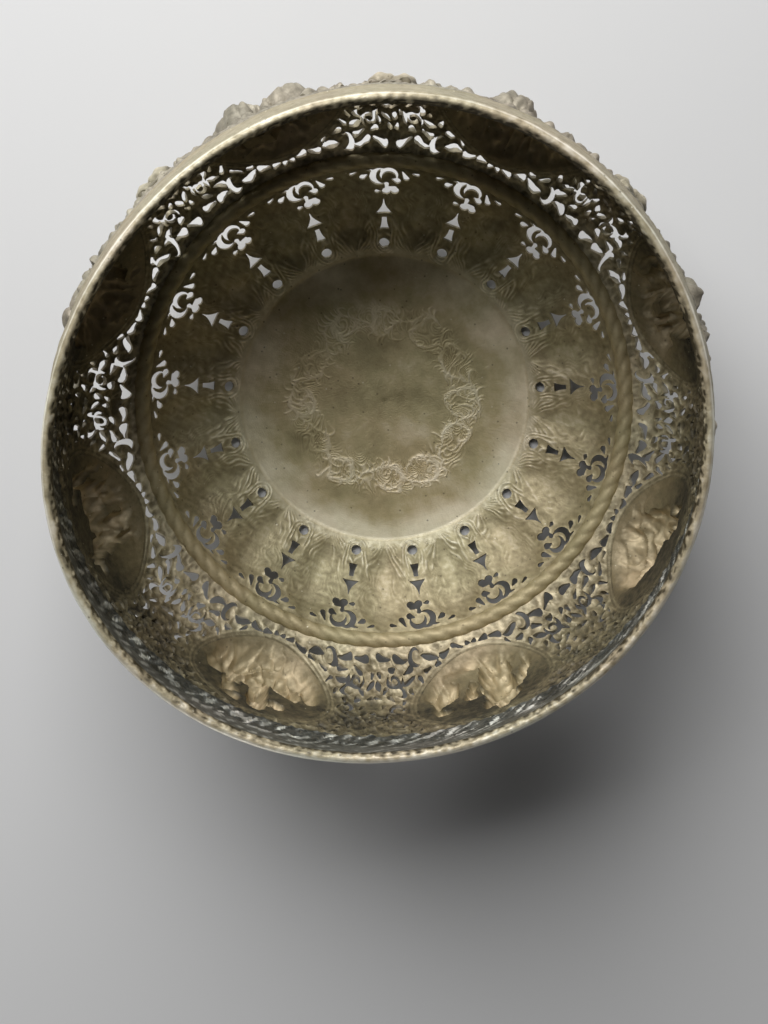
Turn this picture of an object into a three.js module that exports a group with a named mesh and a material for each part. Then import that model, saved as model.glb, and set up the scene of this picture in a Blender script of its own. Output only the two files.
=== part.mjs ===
// A pierced and chased silver bowl, in millimetres with +Z up. It is an assembly of thin silver
// pieces: a flat base disc, a calyx of leaves, a rope band, a frieze with eight figured medallions
// and eight leaf bosses, a neck in a plain collar, and a rim wire. The origin is the centre of the
// underside.
import * as THREE from 'three';

// Driving dimensions: the shape of the wall, taken on the middle of the sheet
const baseRadius = 63;
const calyxSpread = 38.5;
const bellySwell = 22.6;
const mouthDrawIn = 9.15;
const ropeHeight = 27;
const bellyRise = 41;
const neckRise = 59.4;
const calyxFootHeight = 1.2;
const calyxSag = 1.7;

// Driving dimensions: the pieces
const baseThickness = 1.4;
const baseEdgeRound = 0.5;
const sheetGauge = 1.2;
const seam = 0.3;
const ropeThickness = 7.2;
const collarDepth = 20;
const collarGauge = 1;
const rimWidth = 4.2;
const rimThickness = 2.6;

// Driving dimensions: the leaves of the calyx and the holes sawn between them
const leafCount = 17;
const leafHollow = 2.6;
const motifStrip = 7.6;
const leafShoulder = 4.8;
const roundHole = 4;
const roundHoleFromEdge = 5.3;
const keyHoleLength = 6;
const keyHoleWideEnd = 3.8;
const keyHoleNarrowEnd = 2.2;
const keyHoleFromEdge = 15;
const arrowHoleLength = 6.2;
const arrowHoleWidth = 6;
const arrowHoleFromEdge = 23;
const scrollHoleWidth = 3.6;
const scrollHoleLength = 8.4;
const scrollHoleFromRope = 7.6;

// Driving dimensions: the frieze
const bayCount = 8;
const seatTurn = THREE.MathUtils.degToRad(-1.9);
const medallionWidth = 58;
const medallionHeight = 48;
const medallionCentre = 58;
const seatMargin = 6;
const figureRise = 9.6;
const bridge = 3.4;
const bossWidth = 20;
const bossHeight = 27;
const bossRise = 5;
const bossCentre = 71;
const bossEdge = 0.8;

// How far the bowl is out of round at its mouth, as shares of the radius, from a knock in wear
const squash = { share: 0.0249, turn: THREE.MathUtils.degToRad(49), lobes: 2 };
const dent = { share: -0.0126, turn: THREE.MathUtils.degToRad(26), lobes: 3 };

// Sizes that follow from the driving dimensions
const halfGauge = sheetGauge / 2;
const ropeRadius = baseRadius + calyxSpread;
const bellyRadius = ropeRadius + bellySwell;
const bellyHeight = ropeHeight + bellyRise;
const wallTop = bellyHeight + neckRise;
const ropeReach = ropeThickness / 2 + seam;
const columns = 9 * bayCount;
const columnAngle = (2 * Math.PI) / columns;
const seatColumns = 6;
const sectionColumns = 3;

// The radius of the arc that leaves the belly upright and draws in by a depth over a rise
const arcRadius = (rise, depth) => (rise ** 2 + depth ** 2) / (2 * depth);
const lowerArc = arcRadius(bellyRise, bellySwell);
const upperArc = arcRadius(neckRise, mouthDrawIn);

// The point of the wall at an angle, a height, and a distance outwards from its middle
function onWall(angle, height, offset) {
  const arc = height < bellyHeight ? lowerArc : upperArc;
  const lift = (height - bellyHeight) / arc;
  const lean = Math.sqrt(1 - lift ** 2);
  const radius = bellyRadius - arc + (arc + offset) * lean;
  return [radius * Math.cos(angle), radius * Math.sin(angle), height + offset * lift];
}

// The lower edge of the wall stops clear of the rope
const ropeLift = Math.asin(bellyRise / lowerArc);
const ropeClearance = 2 * Math.asin(ropeReach / (2 * lowerArc));
const wallFoot = bellyHeight - lowerArc * Math.sin(ropeLift - ropeClearance);

// The calyx runs from the edge of the base to the rope, sagging a little below the straight line
const calyxFoot = new THREE.Vector2(baseRadius + seam + halfGauge / 2, calyxFootHeight);
const calyxLine = new THREE.Vector2(ropeRadius, ropeHeight).sub(calyxFoot);
const calyxLength = calyxLine.length() - ropeReach;
const calyxDirection = calyxLine.clone().normalize();
const calyxOutward = new THREE.Vector2(calyxDirection.y, -calyxDirection.x);
const leafAngle = (2 * Math.PI) / leafCount;
const firstMotif = Math.PI / 2;

// The point of the calyx at an angle, a distance from its foot, and an offset outwards. Each leaf
// is a hollow between two motif lines.
function onCalyx(angle, along, offset) {
  const share = along / calyxLine.length();
  const fromMotif = Math.abs(Math.sin(((angle - firstMotif) * leafCount) / 2));
  const hollow = leafHollow * fromMotif ** 1.5 * Math.sin((Math.PI * along) / calyxLength) ** 2;
  const point = calyxFoot.clone()
    .addScaledVector(calyxDirection, along)
    .addScaledVector(calyxOutward, 4 * calyxSag * share * (1 - share) + hollow + offset);
  return [point.x * Math.cos(angle), point.x * Math.sin(angle), point.y];
}

// The two skins of a sheet laid out flat as (angle, along) points, and the walls at its edges
class Sheet {
  constructor(place, halfThickness) {
    this.place = place;
    this.half = halfThickness;
    this.positions = [];
  }

  corner([angle, along], side) {
    this.positions.push(...this.place(angle, along, side * this.half));
  }

  // A triangle given anticlockwise as seen from outside, on both skins
  face(first, second, third) {
    for (const point of [first, second, third]) this.corner(point, 1);
    for (const point of [first, third, second]) this.corner(point, -1);
  }

  // The wall under an edge that has the sheet on its left
  wall(from, to) {
    this.corner(to, 1);
    this.corner(from, 1);
    this.corner(from, -1);
    this.corner(to, 1);
    this.corner(from, -1);
    this.corner(to, -1);
  }

  // A panel between its four corners
  plain(outline) {
    this.face(outline[0], outline[1], outline[2]);
    this.face(outline[0], outline[2], outline[3]);
  }

  // A panel with one hole. Both outlines run anticlockwise, and each step joins the nearer pair.
  pierced(outline, hole) {
    const lift = ([angle, along]) => new THREE.Vector3(...this.place(angle, along, 0));
    const outer = outline.map(lift);
    const inner = hole.map(lift);
    const gaps = outer.map((point) => point.distanceTo(inner[0]));
    const start = gaps.indexOf(Math.min(...gaps));
    let outerStep = 0;
    let innerStep = 0;
    while (outerStep < outer.length || innerStep < inner.length) {
      const here = (start + outerStep) % outer.length;
      const next = (here + 1) % outer.length;
      const holeHere = innerStep % inner.length;
      const holeNext = (holeHere + 1) % inner.length;
      const byOuter = outerStep < outer.length ? outer[next].distanceTo(inner[holeHere]) : Infinity;
      const byInner = innerStep < inner.length ? outer[here].distanceTo(inner[holeNext]) : Infinity;
      if (byOuter < byInner) {
        this.face(outline[here], outline[next], hole[holeHere]);
        outerStep += 1;
      } else {
        this.face(outline[here], hole[holeNext], hole[holeHere]);
        this.wall(hole[holeNext], hole[holeHere]);
        innerStep += 1;
      }
    }
  }
}

function geometryOf(positions) {
  const geometry = new THREE.BufferGeometry();
  geometry.setAttribute('position', new THREE.Float32BufferAttribute(positions, 3));
  return geometry;
}

// An outline round a centre, with two half sizes, scaled at each turn by a shape
function outlineRound(centre, halves, count, shape = () => 1) {
  return Array.from({ length: count }, (_, index) => {
    const turn = (2 * Math.PI * (index + 0.5)) / count;
    const reach = shape(turn);
    return [
      centre[0] + halves[0] * reach * Math.cos(turn),
      centre[1] + halves[1] * reach * Math.sin(turn),
    ];
  });
}

// The shape of a bean whose hollow side is turned towards an angle
const bean = (hollowSide) => (turn) => 1 - 0.45 * Math.max(0, Math.cos(turn - hollowSide)) ** 2;

const rectangle = (left, right, low, high) => [[left, low], [right, low], [right, high], [left, high]];

// The calyx: on each motif line a round hole, a key hole, an arrow hole and three scroll holes
function calyx() {
  const sheet = new Sheet(onCalyx, halfGauge);
  const slope = calyxDirection.x;
  const radiusAt = (along) => calyxFoot.x + along * slope;
  const halfAngle = (width, along) => width / 2 / radiusAt(along);
  const strip = halfAngle(motifStrip, keyHoleFromEdge);
  const shoulder = strip + 2 * halfAngle(leafShoulder, arrowHoleFromEdge);
  const scrollCentre = calyxLength - scrollHoleFromRope;
  const between = (low, lowSize, high, highSize) => (low + lowSize / 2 + high - highSize / 2) / 2;
  const rows = [
    0,
    between(roundHoleFromEdge, roundHole, keyHoleFromEdge, keyHoleLength),
    between(keyHoleFromEdge, keyHoleLength, arrowHoleFromEdge, arrowHoleLength),
    between(arrowHoleFromEdge, arrowHoleLength, scrollCentre, scrollHoleLength),
    calyxLength,
  ];
  const across = [-leafAngle / 2, -shoulder, -strip, strip, shoulder, leafAngle / 2];
  for (let leaf = 0; leaf < leafCount; leaf += 1) {
    const middle = firstMotif + leaf * leafAngle;
    const wide = halfAngle(keyHoleWideEnd, keyHoleFromEdge);
    const narrow = halfAngle(keyHoleNarrowEnd, keyHoleFromEdge);
    const keyFoot = keyHoleFromEdge - keyHoleLength / 2;
    const arrowHalf = halfAngle(arrowHoleWidth, arrowHoleFromEdge);
    const arrowFoot = arrowHoleFromEdge - arrowHoleLength / 2;
    const scrollHalves = [halfAngle(scrollHoleWidth, scrollCentre), scrollHoleLength / 2];
    const aside = (strip + shoulder) / 2;
    const holes = [
      [2, 0, outlineRound([middle, roundHoleFromEdge],
        [halfAngle(roundHole, roundHoleFromEdge), roundHole / 2], 6)],
      [2, 1, [[middle - wide, keyFoot], [middle + wide, keyFoot],
        [middle + narrow, keyFoot + keyHoleLength], [middle - narrow, keyFoot + keyHoleLength]]],
      [2, 2, [[middle - arrowHalf, arrowFoot], [middle + arrowHalf, arrowFoot],
        [middle, arrowFoot + arrowHoleLength]]],
      [2, 3, outlineRound([middle, scrollCentre], scrollHalves, 6, bean(-Math.PI / 2))],
      [1, 3, outlineRound([middle - aside, scrollCentre], scrollHalves, 6, bean(0))],
      [3, 3, outlineRound([middle + aside, scrollCentre], scrollHalves, 6, bean(Math.PI))],
    ];
    for (let column = 0; column < across.length - 1; column += 1) {
      const left = middle + across[column];
      const right = middle + across[column + 1];
      for (let row = 0; row < rows.length - 1; row += 1) {
        const outline = rectangle(left, right, rows[row], rows[row + 1]);
        const found = holes.find(([atColumn, atRow]) => atColumn === column && atRow === row);
        if (found) sheet.pierced(outline, found[2]);
        else sheet.plain(outline);
      }
      sheet.wall([left, 0], [right, 0]);
      sheet.wall([right, calyxLength], [left, calyxLength]);
    }
  }
  return geometryOf(sheet.positions);
}

// The frieze runs from the rope to the foot of the neck, in even rows
const friezeTop = medallionCentre + medallionHeight / 2 + seatMargin;
const friezeRows = 5;
const rowHeights = Array.from({ length: friezeRows + 1 }, (_, row) => (
  wallFoot + ((friezeTop - wallFoot) * row) / friezeRows));

// Half sizes of a medallion's oval, as an angle and a height, less a clearance all round
const ovalHalves = (clearance) => [
  (medallionWidth / 2 - clearance) / bellyRadius,
  medallionHeight / 2 - clearance,
];
const spokes = 32;
const medallionRings = 7;
const bayMiddle = (bay) => seatTurn + ((bay + 0.5) * 2 * Math.PI) / bayCount;

// The frieze: each bay has an oval seat for a medallion, and a section of pierced scrollwork
function frieze() {
  const sheet = new Sheet(onWall, halfGauge);
  const sides = [0, Math.PI, Math.PI / 2, -Math.PI / 2];
  for (let bay = 0; bay < bayCount; bay += 1) {
    const seatMiddle = bayMiddle(bay);
    const seatLeft = seatMiddle - (seatColumns / 2) * columnAngle;
    const turnAt = (column) => seatLeft + column * columnAngle;
    const upColumn = (column) => rowHeights.map((height) => [turnAt(column), height]);
    const alongRow = (height) => Array.from({ length: seatColumns - 1 }, (_, step) => (
      [turnAt(step + 1), height]));
    const outline = [
      ...alongRow(wallFoot),
      ...upColumn(seatColumns),
      ...alongRow(friezeTop).reverse(),
      ...upColumn(0).reverse(),
    ];
    sheet.pierced(outline, outlineRound([seatMiddle, medallionCentre], ovalHalves(0), spokes));
    for (let column = 0; column < seatColumns + sectionColumns; column += 1) {
      const left = turnAt(column);
      const right = turnAt(column + 1);
      for (let row = 0; row < friezeRows && column >= seatColumns; row += 1) {
        const low = rowHeights[row];
        const high = rowHeights[row + 1];
        const cell = rectangle(left, right, low, high);
        const middle = [(left + right) / 2, (low + high) / 2];
        const halves = [(right - left) / 2 - bridge / 2 / bellyRadius, (high - low - bridge) / 2];
        const behindBoss = column === seatColumns + 1 && Math.abs(middle[1] - bossCentre) < bossHeight / 2;
        if (!behindBoss) {
          sheet.pierced(cell, outlineRound(middle, halves, 5, bean(sides[(row + column) % 4])));
        } else {
          sheet.plain(cell);
        }
      }
      sheet.wall([left, wallFoot], [right, wallFoot]);
      sheet.wall([right, friezeTop], [left, friezeTop]);
    }
  }
  return geometryOf(sheet.positions);
}

// A round patch on the wall between two offsets, each a function of millimetres across and up
function patch(middle, halves, rings, count, back, front) {
  const positions = [];
  const corner = (share, turn, offset) => {
    const across = share * halves[0] * Math.cos(turn);
    const up = share * halves[1] * Math.sin(turn);
    positions.push(...onWall(middle[0] + across, middle[1] + up, offset(across * bellyRadius, up)));
  };
  const turnOf = (index) => (2 * Math.PI * (index % count + 0.5)) / count;
  for (let index = 0; index < count; index += 1) {
    const turn = turnOf(index);
    const next = turnOf(index + 1);
    for (let ring = 0; ring < rings; ring += 1) {
      const inner = ring / rings;
      const outer = (ring + 1) / rings;
      const triangles = [[[inner, turn], [outer, turn], [outer, next]]];
      if (ring > 0) triangles.push([[inner, turn], [outer, next], [inner, next]]);
      for (const triangle of triangles) {
        for (const [share, at] of triangle) corner(share, at, front);
        for (const [share, at] of triangle.toReversed()) corner(share, at, back);
      }
    }
    corner(1, next, front);
    corner(1, turn, front);
    corner(1, turn, back);
    corner(1, next, front);
    corner(1, turn, back);
    corner(1, next, back);
  }
  return geometryOf(positions);
}

// Animals hammered out of the medallions, with the bowl upright. Each mass is a rounded bar from one
// point to another, across and up from the medallion's centre. Its points and girth are shares of
// half the medallion's height, and its rise is a share of the tallest rise.
const animals = {
  deer: [
    { from: [-0.45, -0.15], to: [0.25, -0.1], girth: 0.34, rise: 0.85 },
    { from: [0.32, 0.1], to: [0.5, 0.55], girth: 0.22, rise: 0.85 },
    { from: [0.3, -0.3], to: [0.52, -0.72], girth: 0.18, rise: 0.55 },
    { from: [-0.42, -0.3], to: [-0.36, -0.74], girth: 0.2, rise: 0.55 },
    { from: [-0.86, -0.3], to: [-0.8, 0.2], girth: 0.2, rise: 0.5 },
  ],
  bull: [
    { from: [-0.85, -0.5], to: [0.7, -0.55], girth: 0.36, rise: 0.85 },
    { from: [-0.8, -0.15], to: [-0.15, -0.2], girth: 0.3, rise: 0.8 },
    { from: [0.02, -0.1], to: [0.06, 0.66], girth: 0.24, rise: 0.9 },
    { from: [0.86, -0.45], to: [0.96, -0.15], girth: 0.22, rise: 0.7 },
  ],
  lion: [
    { from: [-0.9, -0.7], to: [0.9, -0.7], girth: 0.22, rise: 0.55 },
    { from: [0.3, -0.6], to: [0.3, 0.15], girth: 0.32, rise: 0.95 },
    { from: [0.3, 0.15], to: [0.32, 0.8], girth: 0.22, rise: 0.8 },
    { from: [-0.85, -0.55], to: [-0.8, -0.15], girth: 0.26, rise: 0.8 },
    { from: [0.66, 0], to: [0.96, -0.45], girth: 0.18, rise: 0.5 },
  ],
  elephant: [
    { from: [-0.6, -0.33], to: [-0.2, -0.33], girth: 0.46, rise: 0.9 },
    { from: [0.12, -0.3], to: [0.24, -0.28], girth: 0.36, rise: 1 },
    { from: [0.42, -0.3], to: [0.54, 0.4], girth: 0.2, rise: 0.65 },
    { from: [-0.7, -0.6], to: [-0.7, -0.72], girth: 0.22, rise: 0.6 },
    { from: [0, -0.6], to: [0, -0.74], girth: 0.22, rise: 0.6 },
  ],
};

// How far a bar of metal is hammered out at a point, as a share, fading evenly to its girth
function barRise(bar, across, up) {
  const start = new THREE.Vector2(...bar.from);
  const line = new THREE.Vector2(...bar.to).sub(start);
  const point = new THREE.Vector2(across, up).sub(start);
  const share = THREE.MathUtils.clamp(point.dot(line) / line.lengthSq(), 0, 1);
  const far = point.addScaledVector(line, -share).length() / bar.girth;
  return bar.rise * Math.max(0, 1 - far ** 2) ** 1.2;
}

// A medallion: a plaque of the wall's gauge in its seat, with one animal hammered outwards. The
// masses of the animal run into each other, by the fourth root of the sum of their fourth powers,
// and fade out over the outermost ring, so that the plaque's edge stays in its seat.
function medallion(bay, animal, facing) {
  const unit = medallionHeight / 2;
  const halves = ovalHalves(seam);
  const out = (across, up) => {
    const rises = animal.map((bar) => barRise(bar, (facing * across) / unit, up / unit));
    const fromEdge = 1 - Math.hypot(across / bellyRadius / halves[0], up / halves[1]);
    const fade = THREE.MathUtils.clamp(fromEdge * medallionRings, 0, 1);
    return fade * figureRise * rises.reduce((sum, rise) => sum + rise ** 4, 0) ** 0.25;
  };
  return patch([bayMiddle(bay), medallionCentre], halves, medallionRings, spokes,
    (across, up) => out(across, up) - halfGauge,
    (across, up) => out(across, up) + halfGauge);
}

// A boss: a domed leaf on the outside of each pierced section
function boss(bay) {
  const halves = [bossWidth / 2 / bellyRadius, bossHeight / 2];
  const dome = (across, up) => 1 - (2 * across / bossWidth) ** 2 - (2 * up / bossHeight) ** 2;
  return patch([bayMiddle(bay) + Math.PI / bayCount, bossCentre], halves, 2, 12,
    () => halfGauge + seam,
    (across, up) => halfGauge + seam + bossEdge + (bossRise - bossEdge) * Math.max(0, dome(across, up)));
}

// A ring or disc turned from (radius, height) points, with the axis upright
function turned(points, segments) {
  const geometry = new THREE.LatheGeometry(points.map(([radius, height]) => (
    new THREE.Vector2(radius, height))), segments);
  return geometry.rotateX(Math.PI / 2);
}

// The base disc, flat on both sides, with a rounded edge
function basePlate() {
  return turned([
    [0, 0],
    [baseRadius - baseEdgeRound, 0],
    [baseRadius, baseEdgeRound],
    [baseRadius, baseThickness - baseEdgeRound],
    [baseRadius - baseEdgeRound, baseThickness],
    [0, baseThickness],
  ], columns);
}

// The rope band between the calyx and the frieze
function ropeBand() {
  const sides = 8;
  return turned(Array.from({ length: sides + 1 }, (_, side) => {
    const turn = (2 * Math.PI * (side % sides)) / sides;
    return [
      ropeRadius + (ropeThickness / 2) * Math.cos(turn),
      ropeHeight + (ropeThickness / 2) * Math.sin(turn),
    ];
  }), columns);
}

// A band that follows the wall from a height up to the mouth, between two offsets
function wallBand(foot, inside, outside) {
  const flat = (height, offset) => {
    const [radius, , at] = onWall(0, height, offset);
    return [radius, at];
  };
  const middle = (foot + wallTop) / 2;
  const outline = [
    flat(foot, inside),
    flat(foot, outside),
    flat(middle, outside),
    flat(wallTop, outside),
    flat(wallTop, inside),
    flat(middle, inside),
  ];
  return turned([...outline, outline[0]], columns);
}

// The neck stands on the frieze, and the plain collar goes round the outside of it
const collarInside = halfGauge + seam;
const collarOutside = collarInside + collarGauge;
const neck = () => wallBand(friezeTop + seam, -halfGauge, halfGauge);
const collarBand = () => wallBand(wallTop - collarDepth, collarInside, collarOutside);

// The half-round wire that caps the wall and the collar
function rimWire() {
  const mouthRadius = bellyRadius - mouthDrawIn;
  const centre = mouthRadius + (collarOutside - halfGauge) / 2;
  const foot = onWall(0, wallTop, collarOutside)[2] + seam;
  const steps = 6;
  const crown = Array.from({ length: steps + 1 }, (_, step) => {
    const turn = (Math.PI * step) / steps;
    return [centre + (rimWidth / 2) * Math.cos(turn), foot + rimThickness * Math.sin(turn)];
  });
  return turned([...crown, crown[0]], columns);
}

// Moves a geometry's points to where the worn bowl has them: round at the rope, less so at the rim
function makeOutOfRound(geometry) {
  const points = geometry.getAttribute('position');
  for (let index = 0; index < points.count; index += 1) {
    const height = points.getZ(index);
    const weight = THREE.MathUtils.clamp((height - ropeHeight) / (wallTop - ropeHeight), 0, 1);
    const angle = Math.atan2(points.getY(index), points.getX(index));
    const shares = [squash, dent].map(({ share, turn, lobes }) => share * Math.cos(lobes * (angle - turn)));
    const scale = 1 + weight * (shares[0] + shares[1]);
    points.setXYZ(index, points.getX(index) * scale, points.getY(index) * scale, height);
  }
  geometry.computeVertexNormals();
  return geometry;
}

const bowl = new THREE.Group();

function addPiece(name, geometry, colour, roughness) {
  const material = new THREE.MeshStandardMaterial({ color: colour, roughness, metalness: 1 });
  const piece = new THREE.Mesh(makeOutOfRound(geometry), material);
  piece.name = name;
  bowl.add(piece);
}

addPiece('base_plate', basePlate(), '#7d775f', 0.5);
addPiece('calyx', calyx(), '#948a72', 0.5);
addPiece('rope_band', ropeBand(), '#9c9276', 0.45);
addPiece('frieze', frieze(), '#6b665a', 0.5);
addPiece('neck', neck(), '#5f5b50', 0.5);
addPiece('collar_band', collarBand(), '#a39f90', 0.45);
addPiece('rim_wire', rimWire(), '#cdc6b2', 0.35);
const kinds = Object.values(animals);
for (let bay = 0; bay < bayCount; bay += 1) {
  const facing = bay < bayCount / 2 ? -1 : 1;
  addPiece(`medallion_${bay + 1}`, medallion(bay, kinds[bay % kinds.length], facing), '#8d7c64', 0.5);
  addPiece(`boss_${bay + 1}`, boss(bay), '#a39c86', 0.5);
}

export default bowl;
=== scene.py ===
# %% [markdown]
# # A pierced and chased silver bowl
# The bowl stands on its flat base with its mouth up, and the camera looks down into it, as the
# photograph does. Its shape is a set of thin sheets of silver, so almost every piece here is a
# sheet: a grid of points in two flat directions, which a formula lays on the wall of the bowl.

import math

import bpy
import numpy as np
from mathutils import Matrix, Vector


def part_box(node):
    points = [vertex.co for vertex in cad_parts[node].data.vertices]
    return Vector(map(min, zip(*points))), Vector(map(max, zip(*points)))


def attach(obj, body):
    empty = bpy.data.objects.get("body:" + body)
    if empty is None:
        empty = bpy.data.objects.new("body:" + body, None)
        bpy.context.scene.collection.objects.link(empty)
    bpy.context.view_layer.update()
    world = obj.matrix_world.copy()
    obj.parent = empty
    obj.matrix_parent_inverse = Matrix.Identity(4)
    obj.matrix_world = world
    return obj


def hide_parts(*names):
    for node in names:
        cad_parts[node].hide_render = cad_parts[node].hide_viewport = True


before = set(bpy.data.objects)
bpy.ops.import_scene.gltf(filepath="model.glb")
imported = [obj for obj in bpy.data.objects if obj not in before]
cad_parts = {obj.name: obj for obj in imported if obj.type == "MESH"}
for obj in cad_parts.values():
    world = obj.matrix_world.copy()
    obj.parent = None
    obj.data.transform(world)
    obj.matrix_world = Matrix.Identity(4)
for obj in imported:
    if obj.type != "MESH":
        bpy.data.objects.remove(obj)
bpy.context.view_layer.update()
print("nodes in the frame:", len(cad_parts))

# %% [markdown]
# ## Sizes
# The main sizes are read from the frame, so that each sheet lies where its solid does. The rest
# are the sizes of the ornament, in millimetres. Lengths stay in millimetres until a mesh is made.

# %% Sizes from the frame, in millimetres
MM = 0.001


def node_box(node):
    """The lowest and highest corner of a node of the frame, in millimetres."""
    low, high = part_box(node)
    return np.array(low) / MM, np.array(high) / MM


BASE_RADIUS = node_box("base_plate")[1][0]
BASE_THICKNESS = node_box("base_plate")[1][2]
rope_low, rope_high = node_box("rope_band")
ROPE_HALF = (rope_high[2] - rope_low[2]) / 2
ROPE_HEIGHT = (rope_high[2] + rope_low[2]) / 2
ROPE_RADIUS = rope_high[0] - ROPE_HALF
SEAM = 0.3
GAUGE = 1.2
HALF_GAUGE = GAUGE / 2
BELLY_RADIUS = ROPE_RADIUS + 22.6
BELLY_HEIGHT = ROPE_HEIGHT + 41.0
WALL_TOP = BELLY_HEIGHT + 59.4
MOUTH_DRAW_IN = 9.15
FRIEZE_TOP = 88.0
LEAVES = 17
BAYS = 8
SEAT_TURN = math.radians(-1.9)
print("base radius", BASE_RADIUS, "rope radius", ROPE_RADIUS, "rope height", ROPE_HEIGHT)

# %% [markdown]
# ## A few curves
# All the ornament is put together from a few curves: an even rise, a bell, a swell that comes back
# with every turn, a soft step, and a fade away from the edge of a hole.

# %% The curves


def grow(value, start, run):
    """Nought at start, one at start plus run, even between and level beyond. The run may go down."""
    return np.clip((value - start) / run, 0, 1)


def bell(value, middle, width):
    """A bell curve: e to the power of minus the square of the distance in widths."""
    return np.exp(-(((value - middle) / width) ** 2))


def swell(phase, power):
    """One where the phase is nought and nought half a turn on, narrower with a higher power."""
    return (0.5 + 0.5 * np.cos(phase)) ** power


def soft_step(value, middle, width):
    """Nought far below the middle and one far above it, along a hyperbolic tangent."""
    return 0.5 * (1 + np.tanh((value - middle) / width))


def beside(distance, reach):
    """One at the edge of a hole, and fading away from it over reach millimetres."""
    return np.exp(-np.clip(distance, 0, 9) / reach)


def polar(radius, angle, height):
    """Points at a radius from the axis, an angle round it and a height."""
    return np.stack(np.broadcast_arrays(radius * np.cos(angle), radius * np.sin(angle), height), -1)


print("half way up a rise of 4 that starts at 1:", grow(3, 1, 4))

# %% [markdown]
# ## The wall as a formula
# The wall leaves the rope on one arc, stands upright at the belly, and draws in to the mouth on a
# flatter arc. The calyx below the rope is nearly a cone with a little sag. A knock has pushed the
# mouth out of round, so every finished point is moved by two slow waves round the bowl, which
# fade out at the rope.

# %% Places on the wall


def arc_radius(rise, depth):
    """The radius of the arc that leaves upright and draws in by depth over rise."""
    return (rise**2 + depth**2) / (2 * depth)


LOWER_ARC = arc_radius(BELLY_HEIGHT - ROPE_HEIGHT, BELLY_RADIUS - ROPE_RADIUS)
UPPER_ARC = arc_radius(WALL_TOP - BELLY_HEIGHT, MOUTH_DRAW_IN)


def on_wall(angle, height, offset):
    """Points of the wall: an arc in radius and height, turned by angle, offset square to it."""
    arc = np.where(height < BELLY_HEIGHT, LOWER_ARC, UPPER_ARC)
    lift = (height - BELLY_HEIGHT) / arc
    lean = np.sqrt(1 - lift**2)
    return polar(BELLY_RADIUS - arc + (arc + offset) * lean, angle, height + offset * lift)


rope_clearance = 2 * math.asin((ROPE_HALF + SEAM) / (2 * LOWER_ARC))
rope_lift = math.asin((BELLY_HEIGHT - ROPE_HEIGHT) / LOWER_ARC)
WALL_FOOT = BELLY_HEIGHT - LOWER_ARC * math.sin(rope_lift - rope_clearance)
print("the wall starts at height", round(WALL_FOOT, 2))

# %% Places on the calyx, and the knock in the mouth
CALYX_FOOT = np.array([BASE_RADIUS + SEAM + HALF_GAUGE / 2, 1.2])
calyx_line = np.array([ROPE_RADIUS, ROPE_HEIGHT]) - CALYX_FOOT
CALYX_SPAN = float(np.linalg.norm(calyx_line))
CALYX_LENGTH = CALYX_SPAN - ROPE_HALF - SEAM
CALYX_DIRECTION = calyx_line / CALYX_SPAN
CALYX_SAG = 1.7
SQUASH = 0.0249
SQUASH_TURN = math.radians(49)
DENT = 0.0126
DENT_TURN = math.radians(26)


def calyx_radius(along):
    """The radius of the calyx's cone at a distance along it."""
    return CALYX_FOOT[0] + along * CALYX_DIRECTION[0]


def on_calyx(angle, along, offset):
    """Points of the calyx: a cone from the base to the rope that sags as a parabola."""
    share = along / CALYX_SPAN
    depth = 4 * CALYX_SAG * share * (1 - share) + offset
    height = CALYX_FOOT[1] + along * CALYX_DIRECTION[1] - depth * CALYX_DIRECTION[0]
    return polar(calyx_radius(along) + depth * CALYX_DIRECTION[1], angle, height)


def out_of_round(points):
    """Scales each point's radius by two cosine waves of its angle, weighted by its height."""
    weight = grow(points[..., 2], ROPE_HEIGHT, WALL_TOP - ROPE_HEIGHT)
    angle = np.arctan2(points[..., 1], points[..., 0])
    squash = SQUASH * np.cos(2 * (angle - SQUASH_TURN))
    scale = 1 + weight * (squash - DENT * np.cos(3 * (angle - DENT_TURN)))
    return points * np.stack([scale, scale, np.ones_like(scale)], -1)


print("the calyx is", round(CALYX_LENGTH, 2), "long")

# %% [markdown]
# ## Sawn holes as distances
# A silversmith saws each hole along a drawn line. Here a hole is a function that gives the
# distance from any point to its outline, in millimetres: positive on the metal and negative in
# the hole. The nearest hole at a point is then the least of these distances.

# %% Outlines of holes


def turned(x, y, centre, degrees):
    """x and y measured from a centre, on axes turned by some degrees."""
    angle = math.radians(degrees)
    dx, dy = x - centre[0], y - centre[1]
    return dx * math.cos(angle) + dy * math.sin(angle), dy * math.cos(angle) - dx * math.sin(angle)


def disc(x, y, centre, radius):
    """Distance to a round hole: how far from its centre, less its radius."""
    return np.hypot(x - centre[0], y - centre[1]) - radius


def drop(x, y, centre, length, width, degrees):
    """Distance to a teardrop: to a bar whose half width tapers evenly from its head to its tip."""
    along, aside = turned(x, y, centre, degrees)
    head, tip = width / 2, width / 9
    reach = length / 2 - head
    share = np.clip((along + reach) / (length - head - tip), 0, 1)
    nearest = -reach + share * (length - head - tip)
    return np.hypot(along - nearest, aside) - (head + (tip - head) * share)


def crescent(x, y, centre, radius, degrees):
    """Distance to a crescent: inside one circle and outside another that bites its side."""
    along, aside = turned(x, y, centre, degrees)
    bite = np.hypot(along - 0.45 * radius, aside) - 0.84 * radius
    return np.maximum(np.hypot(along, aside) - radius, -bite)


def eye(x, y, centre, length, width, degrees):
    """Distance to an eye: where two circles overlap whose centres lie to both sides of it."""
    along, aside = turned(x, y, centre, degrees)
    away = (length**2 - width**2) / (4 * width)
    return np.hypot(along, np.abs(aside) + away) - (away + width / 2)


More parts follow.
